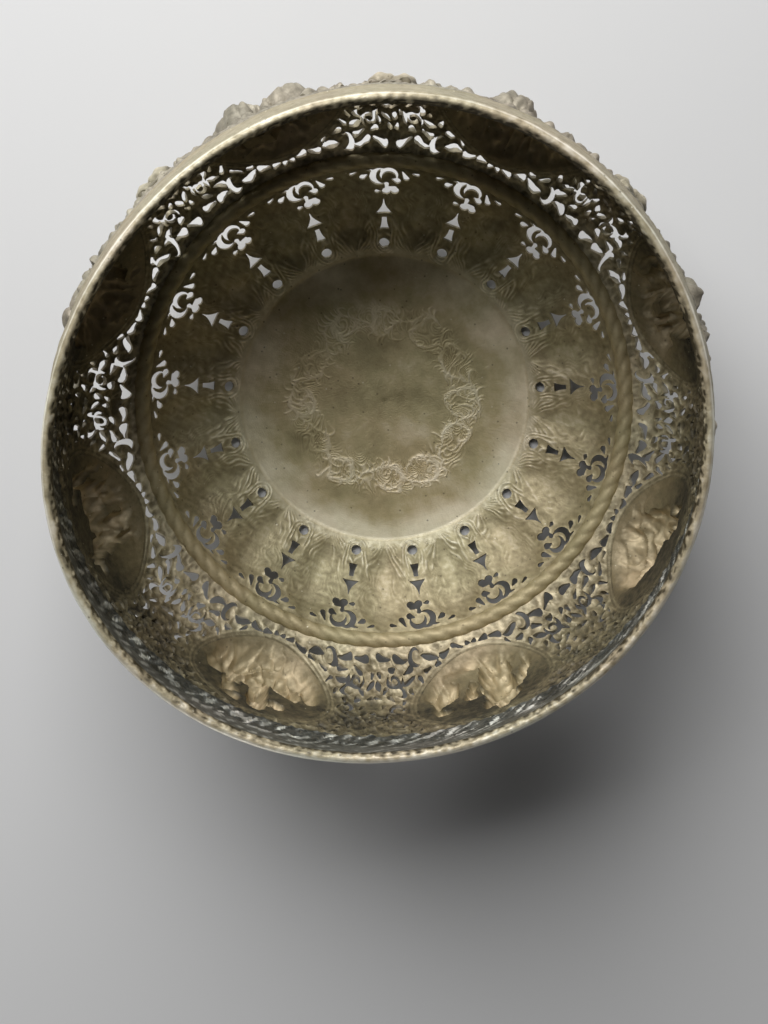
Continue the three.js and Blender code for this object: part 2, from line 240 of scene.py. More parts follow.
def taper(x, y, low, high, low_half, high_half, waist=0.0):
    """Distance to a hole between two heights whose half width runs evenly, with a waist."""
    share = np.clip((y - low) / (high - low), 0, 1)
    half = low_half + (high_half - low_half) * share - waist * np.sin(math.pi * share)
    return np.maximum(np.maximum(low - y, y - high), np.abs(x) - half)


print("from the middle of a round hole of 2 mm to its edge:", disc(0, 0, (0, 0), 2.0))

# %% [markdown]
# ## Unevenness and chased strokes
# Hand work is never even. Waves that cross in seeded directions make an uneven surface, and the
# lines where they pass nought make creases, as in beaten sheet. A chased line is a stroke that
# starts wide, bends and runs out, and the scrolls on the base are drawn with such strokes.

# %% Waves, ripples, creases and strokes
RIPPLE_WAVES = 8
CREASE_WIDTH = 2.2
CURL_IN = 0.35
RUN_OUT = 0.6


def waves(angle, seed, counts):
    """A slow uneven wave round the bowl: the mean of cosines of fixed counts, seeded phases."""
    phases = np.random.default_rng(seed).uniform(0, 2 * math.pi, len(counts))
    return sum(np.cos(count * angle + phase) for count, phase in zip(counts, phases)) / len(counts)


def ripples(points, size, seed):
    """Uneven waves, about size millimetres long: cosines along seeded directions, spread a half."""
    dice = np.random.default_rng(seed)
    headings = dice.normal(size=(RIPPLE_WAVES, 3))
    lengths = size * dice.uniform(0.7, 1.5, RIPPLE_WAVES)
    phases = dice.uniform(0, 2 * math.pi, RIPPLE_WAVES)
    total = sum(np.cos(2 * math.pi * (points @ (heading / np.linalg.norm(heading))) / length + phase)
                for heading, length, phase in zip(headings, lengths, phases))
    return total * math.sqrt(0.5 / RIPPLE_WAVES)


def creases(points, size, seed):
    """One along a net of creases and nought between: one less the size of the ripples."""
    return np.clip(1 - CREASE_WIDTH * np.abs(ripples(points, size, seed)), 0, 1)


def stroke(x, y, root, heading, bend, length, width):
    """A tapering ridge along an arc that curls in: a bell curve of the distance to the arc."""
    hand = 1.0 if bend > 0 else -1.0
    radius = abs(bend)
    centre = (root[0] - hand * radius * math.sin(heading), root[1] + hand * radius * math.cos(heading))
    start = math.atan2(root[1] - centre[1], root[0] - centre[0])
    swept = (hand * (np.arctan2(y - centre[1], x - centre[0]) - start)) % (2 * math.pi)
    full = length / radius
    swept = np.where(swept > (full + 2 * math.pi) / 2, 0, np.minimum(swept, full))
    share = swept / full
    reach = radius * (1 - CURL_IN * share**2)
    at_x = centre[0] + reach * np.cos(start + hand * swept)
    at_y = centre[1] + reach * np.sin(start + hand * swept)
    half = width * (1 - RUN_OUT * share)
    return (1 - CURL_IN * share) * np.exp(-(((x - at_x) ** 2 + (y - at_y) ** 2) / half**2))


print("ripples at three points:", ripples(np.eye(3), 4.0, seed=1).round(3))

# %% [markdown]
# ## From a flat grid to a thin sheet
# A grid of points is laid flat. Points that lie close to an outline are moved onto it, triangles
# inside a hole are left out, and the rest is put on the bowl twice: once for the inside skin and
# once for the outside. Where the sheet ends, at its edges and in its holes, a narrow wall joins
# the two skins, so each sheet is a closed solid as real metal is.

# %% Triangles that follow the outlines
PROBE = 0.04
PULL = 0.55
FLATTEST_SLOPE = 0.1


def to_outline(u, v, distance, step, radius):
    """Moves points within about half a step of an outline onto it, down the distance's slope.

    u is an angle, and radius turns it into millimetres. v is in millimetres."""
    away = distance(u, v)
    slope_u = (distance(u + PROBE / radius, v) - distance(u - PROBE / radius, v)) / (2 * PROBE)
    slope_v = (distance(u, v + PROBE) - distance(u, v - PROBE)) / (2 * PROBE)
    slope = np.maximum(slope_u**2 + slope_v**2, FLATTEST_SLOPE)
    near = np.abs(away) < PULL * step * np.sqrt(slope)
    move = np.where(near, away / slope, 0)
    return u - move * slope_u / radius, v - move * slope_v, np.where(near, 0.0, away)


def corners(rows, columns, closed=True, looped=False):
    """The four corners of each cell of a grid. closed joins each row's ends, and looped each column's."""
    row, column = np.meshgrid(np.arange(rows if looped else rows - 1),
                              np.arange(columns if closed else columns - 1), indexing="ij")
    after, above = (row + 1) % rows * columns, (column + 1) % columns
    return row * columns + column, row * columns + above, after + column, after + above


def grid_triangles(rows, columns, away, closed):
    """Two triangles for each cell of a grid, split so that no triangle crosses an outline."""
    a, b, c, d = corners(rows, columns, closed)
    flat = away.ravel()
    swap = (flat[a] * flat[d] < 0) & (flat[b] == 0) & (flat[c] == 0)
    first = np.where(swap[..., None], np.stack([a, b, c], -1), np.stack([a, b, d], -1))
    second = np.where(swap[..., None], np.stack([b, d, c], -1), np.stack([a, d, c], -1))
    return np.concatenate([first.reshape(-1, 3), second.reshape(-1, 3)])


def open_edges(triangles):
    """The edges that only one triangle uses, each in that triangle's own direction."""
    edges = np.concatenate([triangles[:, [0, 1]], triangles[:, [1, 2]], triangles[:, [2, 0]]])
    span = int(triangles.max()) + 1
    there = edges[:, 0] * span + edges[:, 1]
    back = edges[:, 1] * span + edges[:, 0]
    return edges[~np.isin(there, back)]


print("open edges of one triangle:", len(open_edges(np.array([[0, 1, 2]]))))

# %% Meshes and sheets
SHARP_ANGLE = math.radians(40)


def put_mesh(name, points, triangles, tone, outer=0.0):
    """Makes an object from points in millimetres.

    tone says how pale each point is, from wear and in some pieces from painted light, and outer is one on
    the outside skin."""
    mesh = bpy.data.meshes.new(name)
    mesh.vertices.add(len(points))
    mesh.vertices.foreach_set("co", (points * MM).astype(np.float32).ravel())
    mesh.loops.add(3 * len(triangles))
    mesh.loops.foreach_set("vertex_index", triangles.astype(np.int32).ravel())
    mesh.polygons.add(len(triangles))
    mesh.polygons.foreach_set("loop_start", np.arange(0, 3 * len(triangles), 3, dtype=np.int32))
    mesh.update(calc_edges=True)
    mesh.shade_smooth()
    mesh.set_sharp_from_angle(angle=SHARP_ANGLE)
    for label, values in (("tone", tone), ("outer", outer)):
        attribute = mesh.attributes.new(label, "FLOAT", "POINT")
        attribute.data.foreach_set("value", np.broadcast_to(values, len(points)).astype(np.float32))
    piece = bpy.data.objects.new(name, mesh)
    bpy.context.scene.collection.objects.link(piece)
    print(name, "triangles", len(triangles))
    return piece


def stand_in(piece, node):
    """Hides the node that a piece stands for, and lets the piece ride on the body."""
    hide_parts(node)
    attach(piece, "root")
    return piece


def of_gauge(relief, extra=0.0):
    """The offsets of the inside and outside skin of a sheet raised by relief, thicker by extra."""
    return relief - HALF_GAUGE, relief + HALF_GAUGE + extra


def sheet(name, u, v, distance, step, radius, place, offsets, tone, closed=False):
    """A pierced sheet: place puts two skins at the offsets, and walls join them at every edge.

    u is an angle that radius turns into millimetres, v is in millimetres like the grid's step, and
    closed joins the two ends of a sheet that goes all the way round."""
    u, v, away = to_outline(u, v, distance, step, radius)
    rows, columns = u.shape
    triangles = grid_triangles(rows, columns, away, closed)
    amount = away.ravel()[triangles].sum(1)
    middle = distance(u.ravel()[triangles].mean(1), v.ravel()[triangles].mean(1))
    if closed:
        wraps = np.ptp(triangles % columns, axis=1) > columns // 2
        middle = np.where(wraps, amount, middle)
    kept = triangles[np.where(amount == 0, middle, amount) > 0]
    used, compact = np.unique(kept, return_inverse=True)
    kept = compact.reshape(-1, 3)
    u, v = u.ravel()[used], v.ravel()[used]
    count = len(used)
    inside, outside = offsets(u, v)
    skins = np.concatenate([place(u, v, outside), place(u, v, inside)])
    start, end = open_edges(kept).T
    walls = np.concatenate([np.stack([end, start, start + count], -1),
                            np.stack([end, start + count, end + count], -1)])
    faces = np.concatenate([kept, kept[:, ::-1] + count, walls])
    return put_mesh(name, out_of_round(skins), faces, np.tile(tone(u, v), 2), np.repeat([1.0, 0.0], count))


# %% [markdown]
# ## The calyx
# Seventeen leaves stand round the base. On the line between two leaves the silversmith drilled a
# round hole, sawed a key hole and an arrow, and opened a cluster of scrolls against the rope. The
# pattern repeats, so it is written once, in millimetres to either side of that line. Each leaf is
# a soft valley. Chased lines fan out from the foot of each line between two leaves, and finer
# ones, like hair, go round the hole and run up along the key hole.

# %% The holes of one motif
LEAF_ANGLE = 2 * math.pi / LEAVES
HOLE_CENTRE = 5.0


def from_motif(angle, along):
    """Millimetres to the side of the nearest motif line, at a distance along the calyx."""
    turn = (angle - math.pi / 2 + LEAF_ANGLE / 2) % LEAF_ANGLE - LEAF_ANGLE / 2
    return turn * calyx_radius(along)


def from_leaf(angle, along):
    """Millimetres to the nearest leaf's middle line: half a pitch less the way from the motif."""
    return LEAF_ANGLE * calyx_radius(along) / 2 - np.abs(from_motif(angle, along))


def calyx_holes(angle, along):
    """Distance to the holes of the calyx."""
    x, y = from_motif(angle, along), along
    return np.minimum.reduce([
        disc(x, y, (0, HOLE_CENTRE), 2.1),
        taper(x + 0.15, y, 11.6, 17.2, 1.9, 0.9, 0.3),
        taper(x, y, 19.2, 26.0, 3.5, 0.05, 0.95),
        disc(x, y, (-4.6, 30.2), 1.6),
        disc(x, y, (-1.1, 30.1), 1.7),
        taper(x + 2.9, y, 29.6, 32.4, 2.6, 2.2),
        drop(x, y, (-1.3, 33.0), 3.4, 1.9, -95),
        drop(x, y, (2.4, 30.2), 2.6, 1.9, 175),
        drop(x, y, (-5.2, 35.6), 3.8, 2.9, 20),
        crescent(x, y, (1.5, 37.6), 4.1, 180),
        crescent(x, y, (-2.3, 38.2), 3.7, -90),
        drop(x, y, (-8.9, 38.0), 5.0, 2.4, 65),
        drop(x, y, (8.0, 37.9), 3.6, 2.6, 150),
        drop(x, y, (-13.3, 39.2), 3.2, 1.9, 15),
        drop(x, y, (12.3, 39.8), 3.4, 1.5, 160),
        drop(x, y, (5.6, 40.7), 2.6, 1.0, 5),
    ]) - 0.1


print("the motif repeats every", round(math.degrees(LEAF_ANGLE), 2), "degrees")

# %% The leaf, the fan and the hair
# The edge of a leaf: distances along the calyx, and half its width there. FAN_SPREAD is the angle
# between two lines of the fan, and HAIR is millimetres between two hairs. The heights are how far
# each part stands out (the valley) or in (the chased lines).
LEAF_EDGE = ([0, 4, 7, 9, 12, 16, 22, 28, 33, 37, 40, 42],
             [0.5, 2, 5, 7, 8.8, 9.9, 10.8, 11.2, 10.4, 7.6, 4, 1])
FAN_SPREAD = 0.125
HAIR = 1.45
VALLEY_HEIGHT = 2.1
FAN_HEIGHT = 0.46
HAIR_HEIGHT = 0.55
SCROLL_HEIGHT = 0.40


def calyx_pattern(angle, along):
    """What is chased on the calyx at each point: the leaf, the fan beside it, the hair at its foot.

    The leaf is one on its middle line and nought at its edge. The fan is lines that spread from
    its foot, coarse ones and fine ones between. The hair is lines at even steps round the hole."""
    x, aside = from_motif(angle, along), from_leaf(angle, along)
    place = on_calyx(angle, along, 0)
    share = aside / np.interp(along, *LEAF_EDGE)
    bent = ripples(place, 9.0, seed=44)
    uneven = np.clip(0.75 + 0.9 * ripples(place, 5.0, seed=45), 0, 1.2)
    spread = np.arctan2(aside + 2.5, along + 4) / FAN_SPREAD + 0.5 * bent + 0.3 * np.sign(x)
    coarse = swell(2 * math.pi * spread, 1.7) * grow(share, 0.25, 1 / 3)
    fine = swell(4 * math.pi * spread + 2 * bent, 1.5) * grow(share, 0.12, 0.25)
    fan = np.maximum(coarse * np.interp(along, [1, 3, 9, 18, 32], [0, 1, 0.9, 0.4, 0]),
                     fine * np.interp(along, [10, 17, 28, 36], [0, 0.42, 0.38, 0]))
    wrap = np.hypot(x * np.interp(along, [5, 30], [1.0, 0.6]), np.minimum(along - HOLE_CENTRE, 0))
    hair = swell(2 * math.pi * ((wrap - 3.0) / HAIR + 0.45 * bent), 1.4)
    near = grow(wrap, 2.2, 0.5) * grow(wrap, 6.2, -2) * grow(along, 17, -7)
    return np.clip(1 - share, 0, 1), fan * uneven * (1 - near), hair * uneven * near


def calyx_relief(angle, along):
    """Millimetres outwards: each leaf is a soft valley, and the chased lines stand inwards."""
    leaf, fan, hair = calyx_pattern(angle, along)
    place = on_calyx(angle, along, 0)
    rise = grow(along, 3, 9) * grow(along, CALYX_LENGTH, -9)
    valley = VALLEY_HEIGHT * rise**0.7 * np.sin(leaf * math.pi / 2)
    uneven = 0.07 * ripples(place, 5.0, seed=41) + 0.3 * ripples(place, 14.0, seed=42) * rise
    scrolls = beside(calyx_holes(angle, along), 0.9) * grow(along, 27, 3)
    return valley + uneven - FAN_HEIGHT * fan - HAIR_HEIGHT * hair - SCROLL_HEIGHT * scrolls


def calyx_tone(angle, along):
    """How rubbed the calyx is: the chased lines, a painted highlight up each leaf and the foot's strip."""
    _, fan, hair = calyx_pattern(angle, along)
    girth = np.interp(along, [9, 15, 20, 29], [1.2, 3.0, 2.6, 0.4])
    # A painted highlight: a pale spindle up the middle of each leaf's hollow.
    painted_leaf_highlight = np.exp(-((from_leaf(angle, along) / girth) ** 4)) * grow(along, 9, 3) * grow(along, 29, -4)
    scrolls = beside(calyx_holes(angle, along), 0.6) * grow(along, 27, 3)
    chased = 0.56 * fan + 0.80 * hair + 0.18 * painted_leaf_highlight + 0.38 * bell(along, 0, 4) + 0.2 * scrolls
    fine = 0.07 * ripples(on_calyx(angle, along, 0), 2.6, seed=43)
    return np.clip(0.26 + chased + fine - 0.06 * grow(along, 30, 6), 0, 1)


# %% The calyx in three parts
CALYX_PARTS = [6, 6, 5]
CALYX_MIDDLE_RADIUS = 80.0


def make_calyx_part(number):
    """One part of the calyx, a run of whole leaf pitches from one leaf's middle line to another."""
    first = sum(CALYX_PARTS[:number]) + 0.5
    count = CALYX_PARTS[number]
    angles = math.pi / 2 + LEAF_ANGLE * np.linspace(first, first + count, count * 66 + 1)
    u, v = np.meshgrid(angles, np.linspace(0, CALYX_LENGTH + SEAM + 0.3, 84))
    piece = sheet(f"calyx_leaves_{number + 1}", u, v, calyx_holes, 0.55, CALYX_MIDDLE_RADIUS, on_calyx,
                  lambda a, s: of_gauge(calyx_relief(a, s)), calyx_tone)
    return stand_in(piece, "calyx")


calyx = [make_calyx_part(number) for number in range(len(CALYX_PARTS))]

# %% [markdown]
# ## The frieze
# Between the rope and the neck the wall is sawn into scrollwork, with an oval seat for each of the
# eight medallions. A raised double line runs round each seat. The sheet is made in eight equal
# sections, each from the middle of one seat to the middle of the next. The two sides of a section
# nearly mirror each other, so its holes are listed once, for one side.

# %% The holes of the scrollwork
# Each row is across and up, then length, width and turn, or for a crescent its radius and turn.
MEDALLION_CENTRE = 58.0
MEDALLION_HALF_HEIGHT = 24.0
MEDALLION_HALF_WIDTH = 29.0
BAY_ANGLE = 2 * math.pi / BAYS
DROPS = [
    (5.4, 32.5, 7.0, 2.6, 14), (13.6, 32.7, 7.2, 2.8, -8), (36.0, 32.6, 6.0, 2.0, -8),
    (42.4, 31.9, 5.0, 1.6, 2), (47.2, 31.5, 2.6, 1.2, 5), (8.2, 37.0, 3.8, 2.3, -30),
    (15.4, 36.8, 5.6, 2.4, 160), (24.8, 37.6, 4.4, 1.9, -25), (21.0, 41.8, 3.6, 1.9, 55),
    (5.2, 46.4, 3.8, 2.1, 110), (17.0, 46.8, 3.2, 1.7, 70), (1.7, 50.4, 3.4, 1.9, 20),
    (7.6, 51.6, 4.2, 2.4, 60), (13.0, 52.6, 3.6, 1.8, 100), (4.6, 56.4, 3.4, 1.9, 80),
    (2.2, 61.6, 4.6, 2.4, 60), (8.6, 63.8, 3.8, 1.9, 110), (10.2, 69.4, 4.2, 2.4, 75),
    (5.6, 71.8, 3.2, 1.7, 100), (8.6, 76.6, 4.6, 2.1, 85), (6.0, 82.2, 3.6, 1.9, 100),
    (12.8, 80.4, 4.0, 2.1, 30), (18.8, 78.4, 4.4, 2.1, 150), (17.2, 71.6, 3.4, 1.5, 100),
    (1.9, 86.0, 3.0, 1.5, 20), (10.4, 85.8, 3.8, 2.0, 10), (24.9, 84.3, 4.4, 1.8, 165),
    (31.6, 85.9, 3.8, 1.3, 175), (1.9, 77.0, 3.6, 1.7, 80), (1.6, 68.6, 3.4, 1.5, 85),
    (1.6, 38.6, 3.2, 1.8, 75), (30.6, 35.6, 3.4, 1.2, 150), (38.6, 86.2, 3.2, 1.1, 0),
    (13.6, 64.6, 3.0, 1.3, 85), (14.2, 57.4, 2.6, 1.2, 90),
]
CRESCENTS = [
    (20.6, 33.2, 3.2, 0), (9.0, 41.6, 4.0, -90), (12.0, 46.9, 2.9, 180), (10.6, 58.0, 2.9, 30),
    (13.4, 75.0, 2.7, 160), (18.2, 83.8, 2.8, -90), (5.2, 66.2, 2.6, 200), (9.0, 41.2, 2.0, 90),
]
EYES = [
    (28.2, 33.0, 8.2, 2.4, 5), (15.6, 41.4, 6.4, 2.4, -25), (1.8, 43.6, 5.2, 2.1, 70),
]
HOLE_EXTRA = 0.22


def from_section(angle):
    """Millimetres to the side of the nearest pierced section's middle line."""
    return ((angle - SEAT_TURN + BAY_ANGLE / 2) % BAY_ANGLE - BAY_ANGLE / 2) * BELLY_RADIUS


def seat_distance(angle, height, shrink=0.0):
    """Distance to the nearest medallion's oval, positive outside it."""
    turn = (angle - SEAT_TURN) % BAY_ANGLE - BAY_ANGLE / 2
    across = turn * BELLY_RADIUS / (MEDALLION_HALF_WIDTH - shrink)
    up = (height - MEDALLION_CENTRE) / (MEDALLION_HALF_HEIGHT - shrink)
    return (np.hypot(across, up) - 1) * (MEDALLION_HALF_HEIGHT - shrink)


def scroll_holes(angle, height):
    """Distance to the holes of the scrollwork, bent a little differently in each section."""
    x = from_section(angle)
    turn = 2.4 * np.floor((angle - SEAT_TURN) / BAY_ANGLE + 0.5)
    calm = grow(np.abs(x), 46, -5)
    bent = x + calm * (0.65 * np.sin(height / 2.5 + turn) + 0.9 * np.sin(height / 6.3 + 2 * turn))
    height = height + calm * (0.55 * np.sin(x / 2.7 + 1.7 * turn) + 0.35 * np.sin(x / 1.6 + turn))
    distances = [shape(np.abs(bent), height, (across, up), *size)
                 for shape, rows in ((drop, DROPS), (crescent, CRESCENTS), (eye, EYES))
                 for across, up, *size in rows]
    ragged = 0.2 * calm * np.sin(bent / 1.9 + turn) * np.sin(height / 2.1)
    return np.minimum.reduce(distances) - HOLE_EXTRA - ragged


def frieze_holes(angle, height):
    """Distance to the scrollwork's holes and to the medallions' seats."""
    return np.minimum(scroll_holes(angle, height), seat_distance(angle, height))


print("holes in a section:", 2 * (len(DROPS) + len(CRESCENTS) + len(EYES)))

# %% Relief and wear of the scrollwork


def seat_lines(seat):
    """Two bells across the raised double line round a seat, 1 and 2.5 mm from its edge."""
    return bell(seat, 1.0, 0.45) + bell(seat, 2.5, 0.45)


def frieze_relief(angle, height):
    """Millimetres outwards: rounded, creased stems between the holes, and a line round each seat."""
    place = on_wall(angle, height, 0)
    seat = seat_distance(angle, height)
    beaten = 0.55 * creases(place, 9.0, seed=51) + 0.22 * creases(place, 4.5, seed=52)
    stems = 0.8 * (1 - beside(scroll_holes(angle, height), 0.8)) - beaten
    bud = 1.1 * bell(from_section(angle), 0, 3.0) * bell(height, 35.2, 2.2)
    return (stems * grow(seat, 2.6, 1.2) + bud) * grow(height, WALL_FOOT, 1.5) + 0.40 * seat_lines(seat)


def frieze_outer(angle, height):
    """Extra millimetres on the outside: curled leaves that lie over the stems."""
    x = from_section(angle)
    curl = (np.cos(x * 0.55 + 1.2 * np.sin(height * 0.28))
            * np.cos(height * 0.5 + 1.1 * np.sin(np.abs(x) * 0.33)))
    curl = np.clip(curl, 0, 1) ** 0.7 + 0.35 * ripples(on_wall(angle, height, 0), 6.0, seed=53)
    ends = grow(height, FRIEZE_TOP, -2) * grow(height, WALL_FOOT + 1, 2)
    return 1.9 * np.clip(curl, 0, 1.2) * grow(seat_distance(angle, height), 2, 2) * ends


def frieze_tone(angle, height):
    """How rubbed the scrollwork is: pale near the rope and on the creases, darker up the wall."""
    place = on_wall(angle, height, 0)
    seat = seat_distance(angle, height)
    low = grow(height, 64, -34)
    folds = 0.36 * creases(place, 9.0, seed=51) + 0.26 * creases(place, 4.5, seed=52)
    folds = folds * grow(seat, 1.5, 2) * (0.5 + 0.5 * low)
    edges = 0.16 * beside(scroll_holes(angle, height), 0.7) + 0.22 * seat_lines(seat)
    return np.clip(0.03 + 0.49 * low + edges + folds + 0.10 * ripples(place, 3.0, seed=54), 0, 1)


# %% The eight sections
WALL_SAMPLES = 400
PIERCED_HALF = 27


def wall_heights(low, high, count):
    """Heights that are evenly spaced along the curve of the wall between two heights."""
    heights = np.linspace(low, high, WALL_SAMPLES)
    arc = np.where(heights < BELLY_HEIGHT, LOWER_ARC, UPPER_ARC)
    length = arc * np.arcsin((heights - BELLY_HEIGHT) / arc)
    return np.interp(np.linspace(length[0], length[-1], count), length, heights)


def make_section(section):
    """One pierced section. Its grid is finer over the pierced middle than beside it."""
    middle = SEAT_TURN + section * BAY_ANGLE
    half = BAY_ANGLE / 2 * BELLY_RADIUS
    beyond = np.linspace(PIERCED_HALF, half, 32)[1:]
    across = np.concatenate([-beyond[::-1], np.linspace(-PIERCED_HALF, PIERCED_HALF, 94), beyond])
    heights = wall_heights(WALL_FOOT - SEAM - 0.2, FRIEZE_TOP, 107)
    u, v = np.meshgrid(middle + across / BELLY_RADIUS, heights)
    piece = sheet(f"frieze_section_{section}", u, v, frieze_holes, 0.62, BELLY_RADIUS, on_wall,
                  lambda a, h: of_gauge(frieze_relief(a, h), frieze_outer(a, h)), frieze_tone)
    return stand_in(piece, "frieze")


sections = [make_section(section) for section in range(1, BAYS + 1)]

# %% [markdown]
# ## The neck and its border
# Eighty narrow leaves lean round the foot of the neck, with small holes between them. Above them
# the neck is plain inside. Both belong to one sheet that runs up to the rim wire. A leaf leans
# because the phase that repeats round the bowl also grows with height.

# %% The leaning leaves
BORDER_TOP = 107.0
BORDER_LEAVES = 80
NECK_RADIUS = 119.0
BACK_HEIGHT = 0.85


def border_phase(angle, height):
    """How many leaves along a point is: the leaves lean back as they rise."""
    lean = 1.05 * (height - FRIEZE_TOP) / (BORDER_TOP - FRIEZE_TOP)
    return angle * BORDER_LEAVES / (2 * math.pi) + lean


def border_holes(angle, height):
    """Distance to the small holes at the foot and the top of the border."""
    phase = border_phase(angle, height)
    x = ((phase + 0.5) % 1 - 0.5) * 2 * math.pi * NECK_RADIUS / BORDER_LEAVES
    low = drop(x, height, (0, FRIEZE_TOP + 4.4), 3.6, 1.6, 70)
    high = drop(x, height, (0, BORDER_TOP - 3.4), 2.8, 1.3, 70)
    every_second = np.floor(phase + 0.5) % 2 < 0.5
    return np.minimum(low, np.where(every_second, high, 9.0))


def border_relief(angle, height):
    """Millimetres outwards: a rounded back on each leaf, over a plain fillet, all a bit beaten."""
    place = on_wall(angle, height, 0)
    bulge = np.sin(math.pi * grow(height, FRIEZE_TOP, BORDER_TOP - FRIEZE_TOP)) ** 0.5
    turn = border_phase(angle, height) % 1
    back = BACK_HEIGHT * np.sqrt(np.clip(1 - (2 * turn - 1) ** 2, 0, 1)) * bulge
    beaten = 0.45 * creases(place, 7.0, seed=63) + 0.35 * ripples(place, 4.0, seed=64)
    fillet = 0.5 * bell(height, FRIEZE_TOP + 0.4, 0.6)
    return back + fillet - beaten * np.maximum(grow(height, BORDER_TOP + 3, -6), 0.12)


def border_tone(angle, height):
    """How rubbed the neck is: broken pale streaks along the leaves, partly wear and partly a painted glint,
    and patches that thin above.
    """
    phase = border_phase(angle, height)
    strength = 0.35 + 0.55 * np.clip(2 * waves(angle, 22, (7, 19, 37, 61, 83)) + 0.4, 0, 1)
    strength = strength * grow(height, 88.5, 2) * grow(height, BORDER_TOP + 2, -5)
    girth = np.interp(height, [88, 93, 109], [0.14, 0.20, 0.04])
    # Painted glint and wear: the pale streak lies on one side of each leaf's rounded back.
    glint_and_wear_streak = np.exp(-np.abs((phase % 1 - 0.30) / girth) ** 2.5) * strength
    leaning = on_wall(phase * 2 * math.pi / BORDER_LEAVES, height, 0) * np.array([1, 1, 0.3])
    broken = np.clip(4.2 * ripples(leaning, 3.0, seed=61), 0, 1)
    patches = np.clip(3.6 * ripples(leaning, 4.0, seed=62) - 0.55, 0, 1)
    above = grow(height, 104, 6)
    return np.clip(0.04 + 0.16 * above + 1.20 * glint_and_wear_streak * broken + (0.55 - 0.15 * above) * patches, 0, 1)


# %% The neck
neck_angles = np.arange(BORDER_LEAVES * 12) * 2 * math.pi / (BORDER_LEAVES * 12)
neck_heights = np.concatenate([wall_heights(FRIEZE_TOP, BORDER_TOP + 1, 26),
                               wall_heights(BORDER_TOP + 2.6, WALL_TOP, 8)])
neck = sheet("neck_border", *np.meshgrid(neck_angles, neck_heights), border_holes, 0.8, NECK_RADIUS,
             on_wall, lambda a, h: of_gauge(border_relief(a, h)), border_tone, closed=True)
stand_in(neck, "neck")

# %% [markdown]
# ## The medallions
# Each medallion is a plaque of the same sheet, with an animal hammered out from behind. From the
# inside it is a hollow. A body is built from rounded bars, joined smoothly where they meet. A bar
# has a start and an end, a girth and a rise. Beside some of the animals a leaf curls up.

# %% The animals and the curls
# Each bar has the place of its start, the place of its end, its girth and its rise. Places are
# across and up from the middle of the plaque, in shares of the plaque's half height.
ANIMALS = {
    "deer": [
        ((-0.45, -0.15), (0.25, -0.10), 0.28, 0.82), ((0.30, 0.05), (0.48, 0.50), 0.16, 0.82),
        ((0.52, 0.58), (0.70, 0.50), 0.12, 0.66), ((0.46, 0.62), (0.30, 0.90), 0.05, 0.3),
        ((0.52, 0.66), (0.56, 0.94), 0.05, 0.3), ((0.26, -0.28), (0.52, -0.74), 0.11, 0.5),
        ((0.14, -0.30), (0.18, -0.76), 0.10, 0.4), ((-0.44, -0.30), (-0.30, -0.76), 0.12, 0.5),
        ((-0.52, -0.26), (-0.62, -0.74), 0.11, 0.42), ((-0.70, -0.02), (-0.80, 0.16), 0.09, 0.4),
        ((-0.98, -0.50), (-0.86, 0.30), 0.09, 0.45), ((-0.86, 0.30), (-0.60, 0.56), 0.14, 0.4),
        ((-0.80, -0.82), (0.80, -0.82), 0.11, 0.3),
    ],
    "bull": [
        ((-0.95, -0.60), (-0.10, -0.80), 0.26, 0.72), ((-0.10, -0.80), (0.72, -0.60), 0.24, 0.78),
        ((-0.90, -0.22), (-0.15, -0.26), 0.26, 0.80), ((-0.62, -0.46), (0.34, -0.50), 0.22, 0.95),
        ((0.00, -0.16), (0.02, 0.42), 0.20, 0.86), ((0.02, 0.42), (0.07, 0.88), 0.11, 0.6),
        ((-0.55, 0.02), (-0.48, 0.42), 0.13, 0.5), ((0.46, -0.36), (0.52, -0.14), 0.18, 0.66),
        ((0.86, -0.52), (1.00, -0.12), 0.18, 0.74), ((0.40, 0.44), (0.46, 0.50), 0.12, 0.3),
        ((-0.56, 0.66), (-0.38, 0.84), 0.16, 0.26),
    ],
    "lion": [
        ((-1.05, -0.70), (-0.25, -0.90), 0.13, 0.45), ((-0.25, -0.90), (1.02, -0.74), 0.14, 0.5),
        ((0.28, -0.70), (0.32, 0.05), 0.27, 0.92), ((0.32, 0.05), (0.34, 0.62), 0.19, 0.8),
        ((0.34, 0.62), (0.31, 1.02), 0.10, 0.55), ((0.06, 0.20), (0.10, 0.74), 0.10, 0.45),
        ((-0.92, -0.62), (-0.84, -0.18), 0.22, 0.76), ((-0.66, -0.40), (-0.62, -0.16), 0.12, 0.5),
        ((-0.88, -0.06), (-0.94, 0.42), 0.09, 0.42), ((-0.90, 0.44), (-0.72, 0.36), 0.09, 0.4),
        ((0.60, 0.12), (0.92, -0.30), 0.09, 0.48), ((0.92, -0.30), (1.06, -0.64), 0.09, 0.48),
        ((-0.20, -0.34), (-0.24, 0.00), 0.08, 0.3),
    ],
    "elephant": [
        ((-0.62, -0.34), (-0.22, -0.34), 0.42, 0.9), ((-0.34, -0.06), (-0.20, -0.08), 0.28, 0.88),
        ((0.12, -0.32), (0.22, -0.28), 0.30, 1.0), ((0.36, -0.34), (0.46, -0.18), 0.14, 0.62),
        ((0.46, -0.18), (0.52, 0.42), 0.10, 0.52), ((0.04, -0.30), (0.10, -0.10), 0.16, 1.0),
        ((-0.72, -0.58), (-0.74, -0.82), 0.15, 0.55), ((-0.48, -0.60), (-0.46, -0.80), 0.13, 0.45),
        ((-0.06, -0.62), (-0.04, -0.84), 0.14, 0.55), ((0.20, -0.60), (0.24, -0.80), 0.12, 0.45),
        ((-0.96, -0.20), (-0.92, -0.56), 0.07, 0.35), ((0.16, 0.08), (0.20, 0.40), 0.06, 0.3),
        ((0.32, 0.10), (0.32, 0.42), 0.06, 0.3), ((-0.90, -0.88), (0.90, -0.84), 0.09, 0.3),
        ((0.72, 0.06), (0.84, 0.34), 0.08, 0.25),
    ],
}
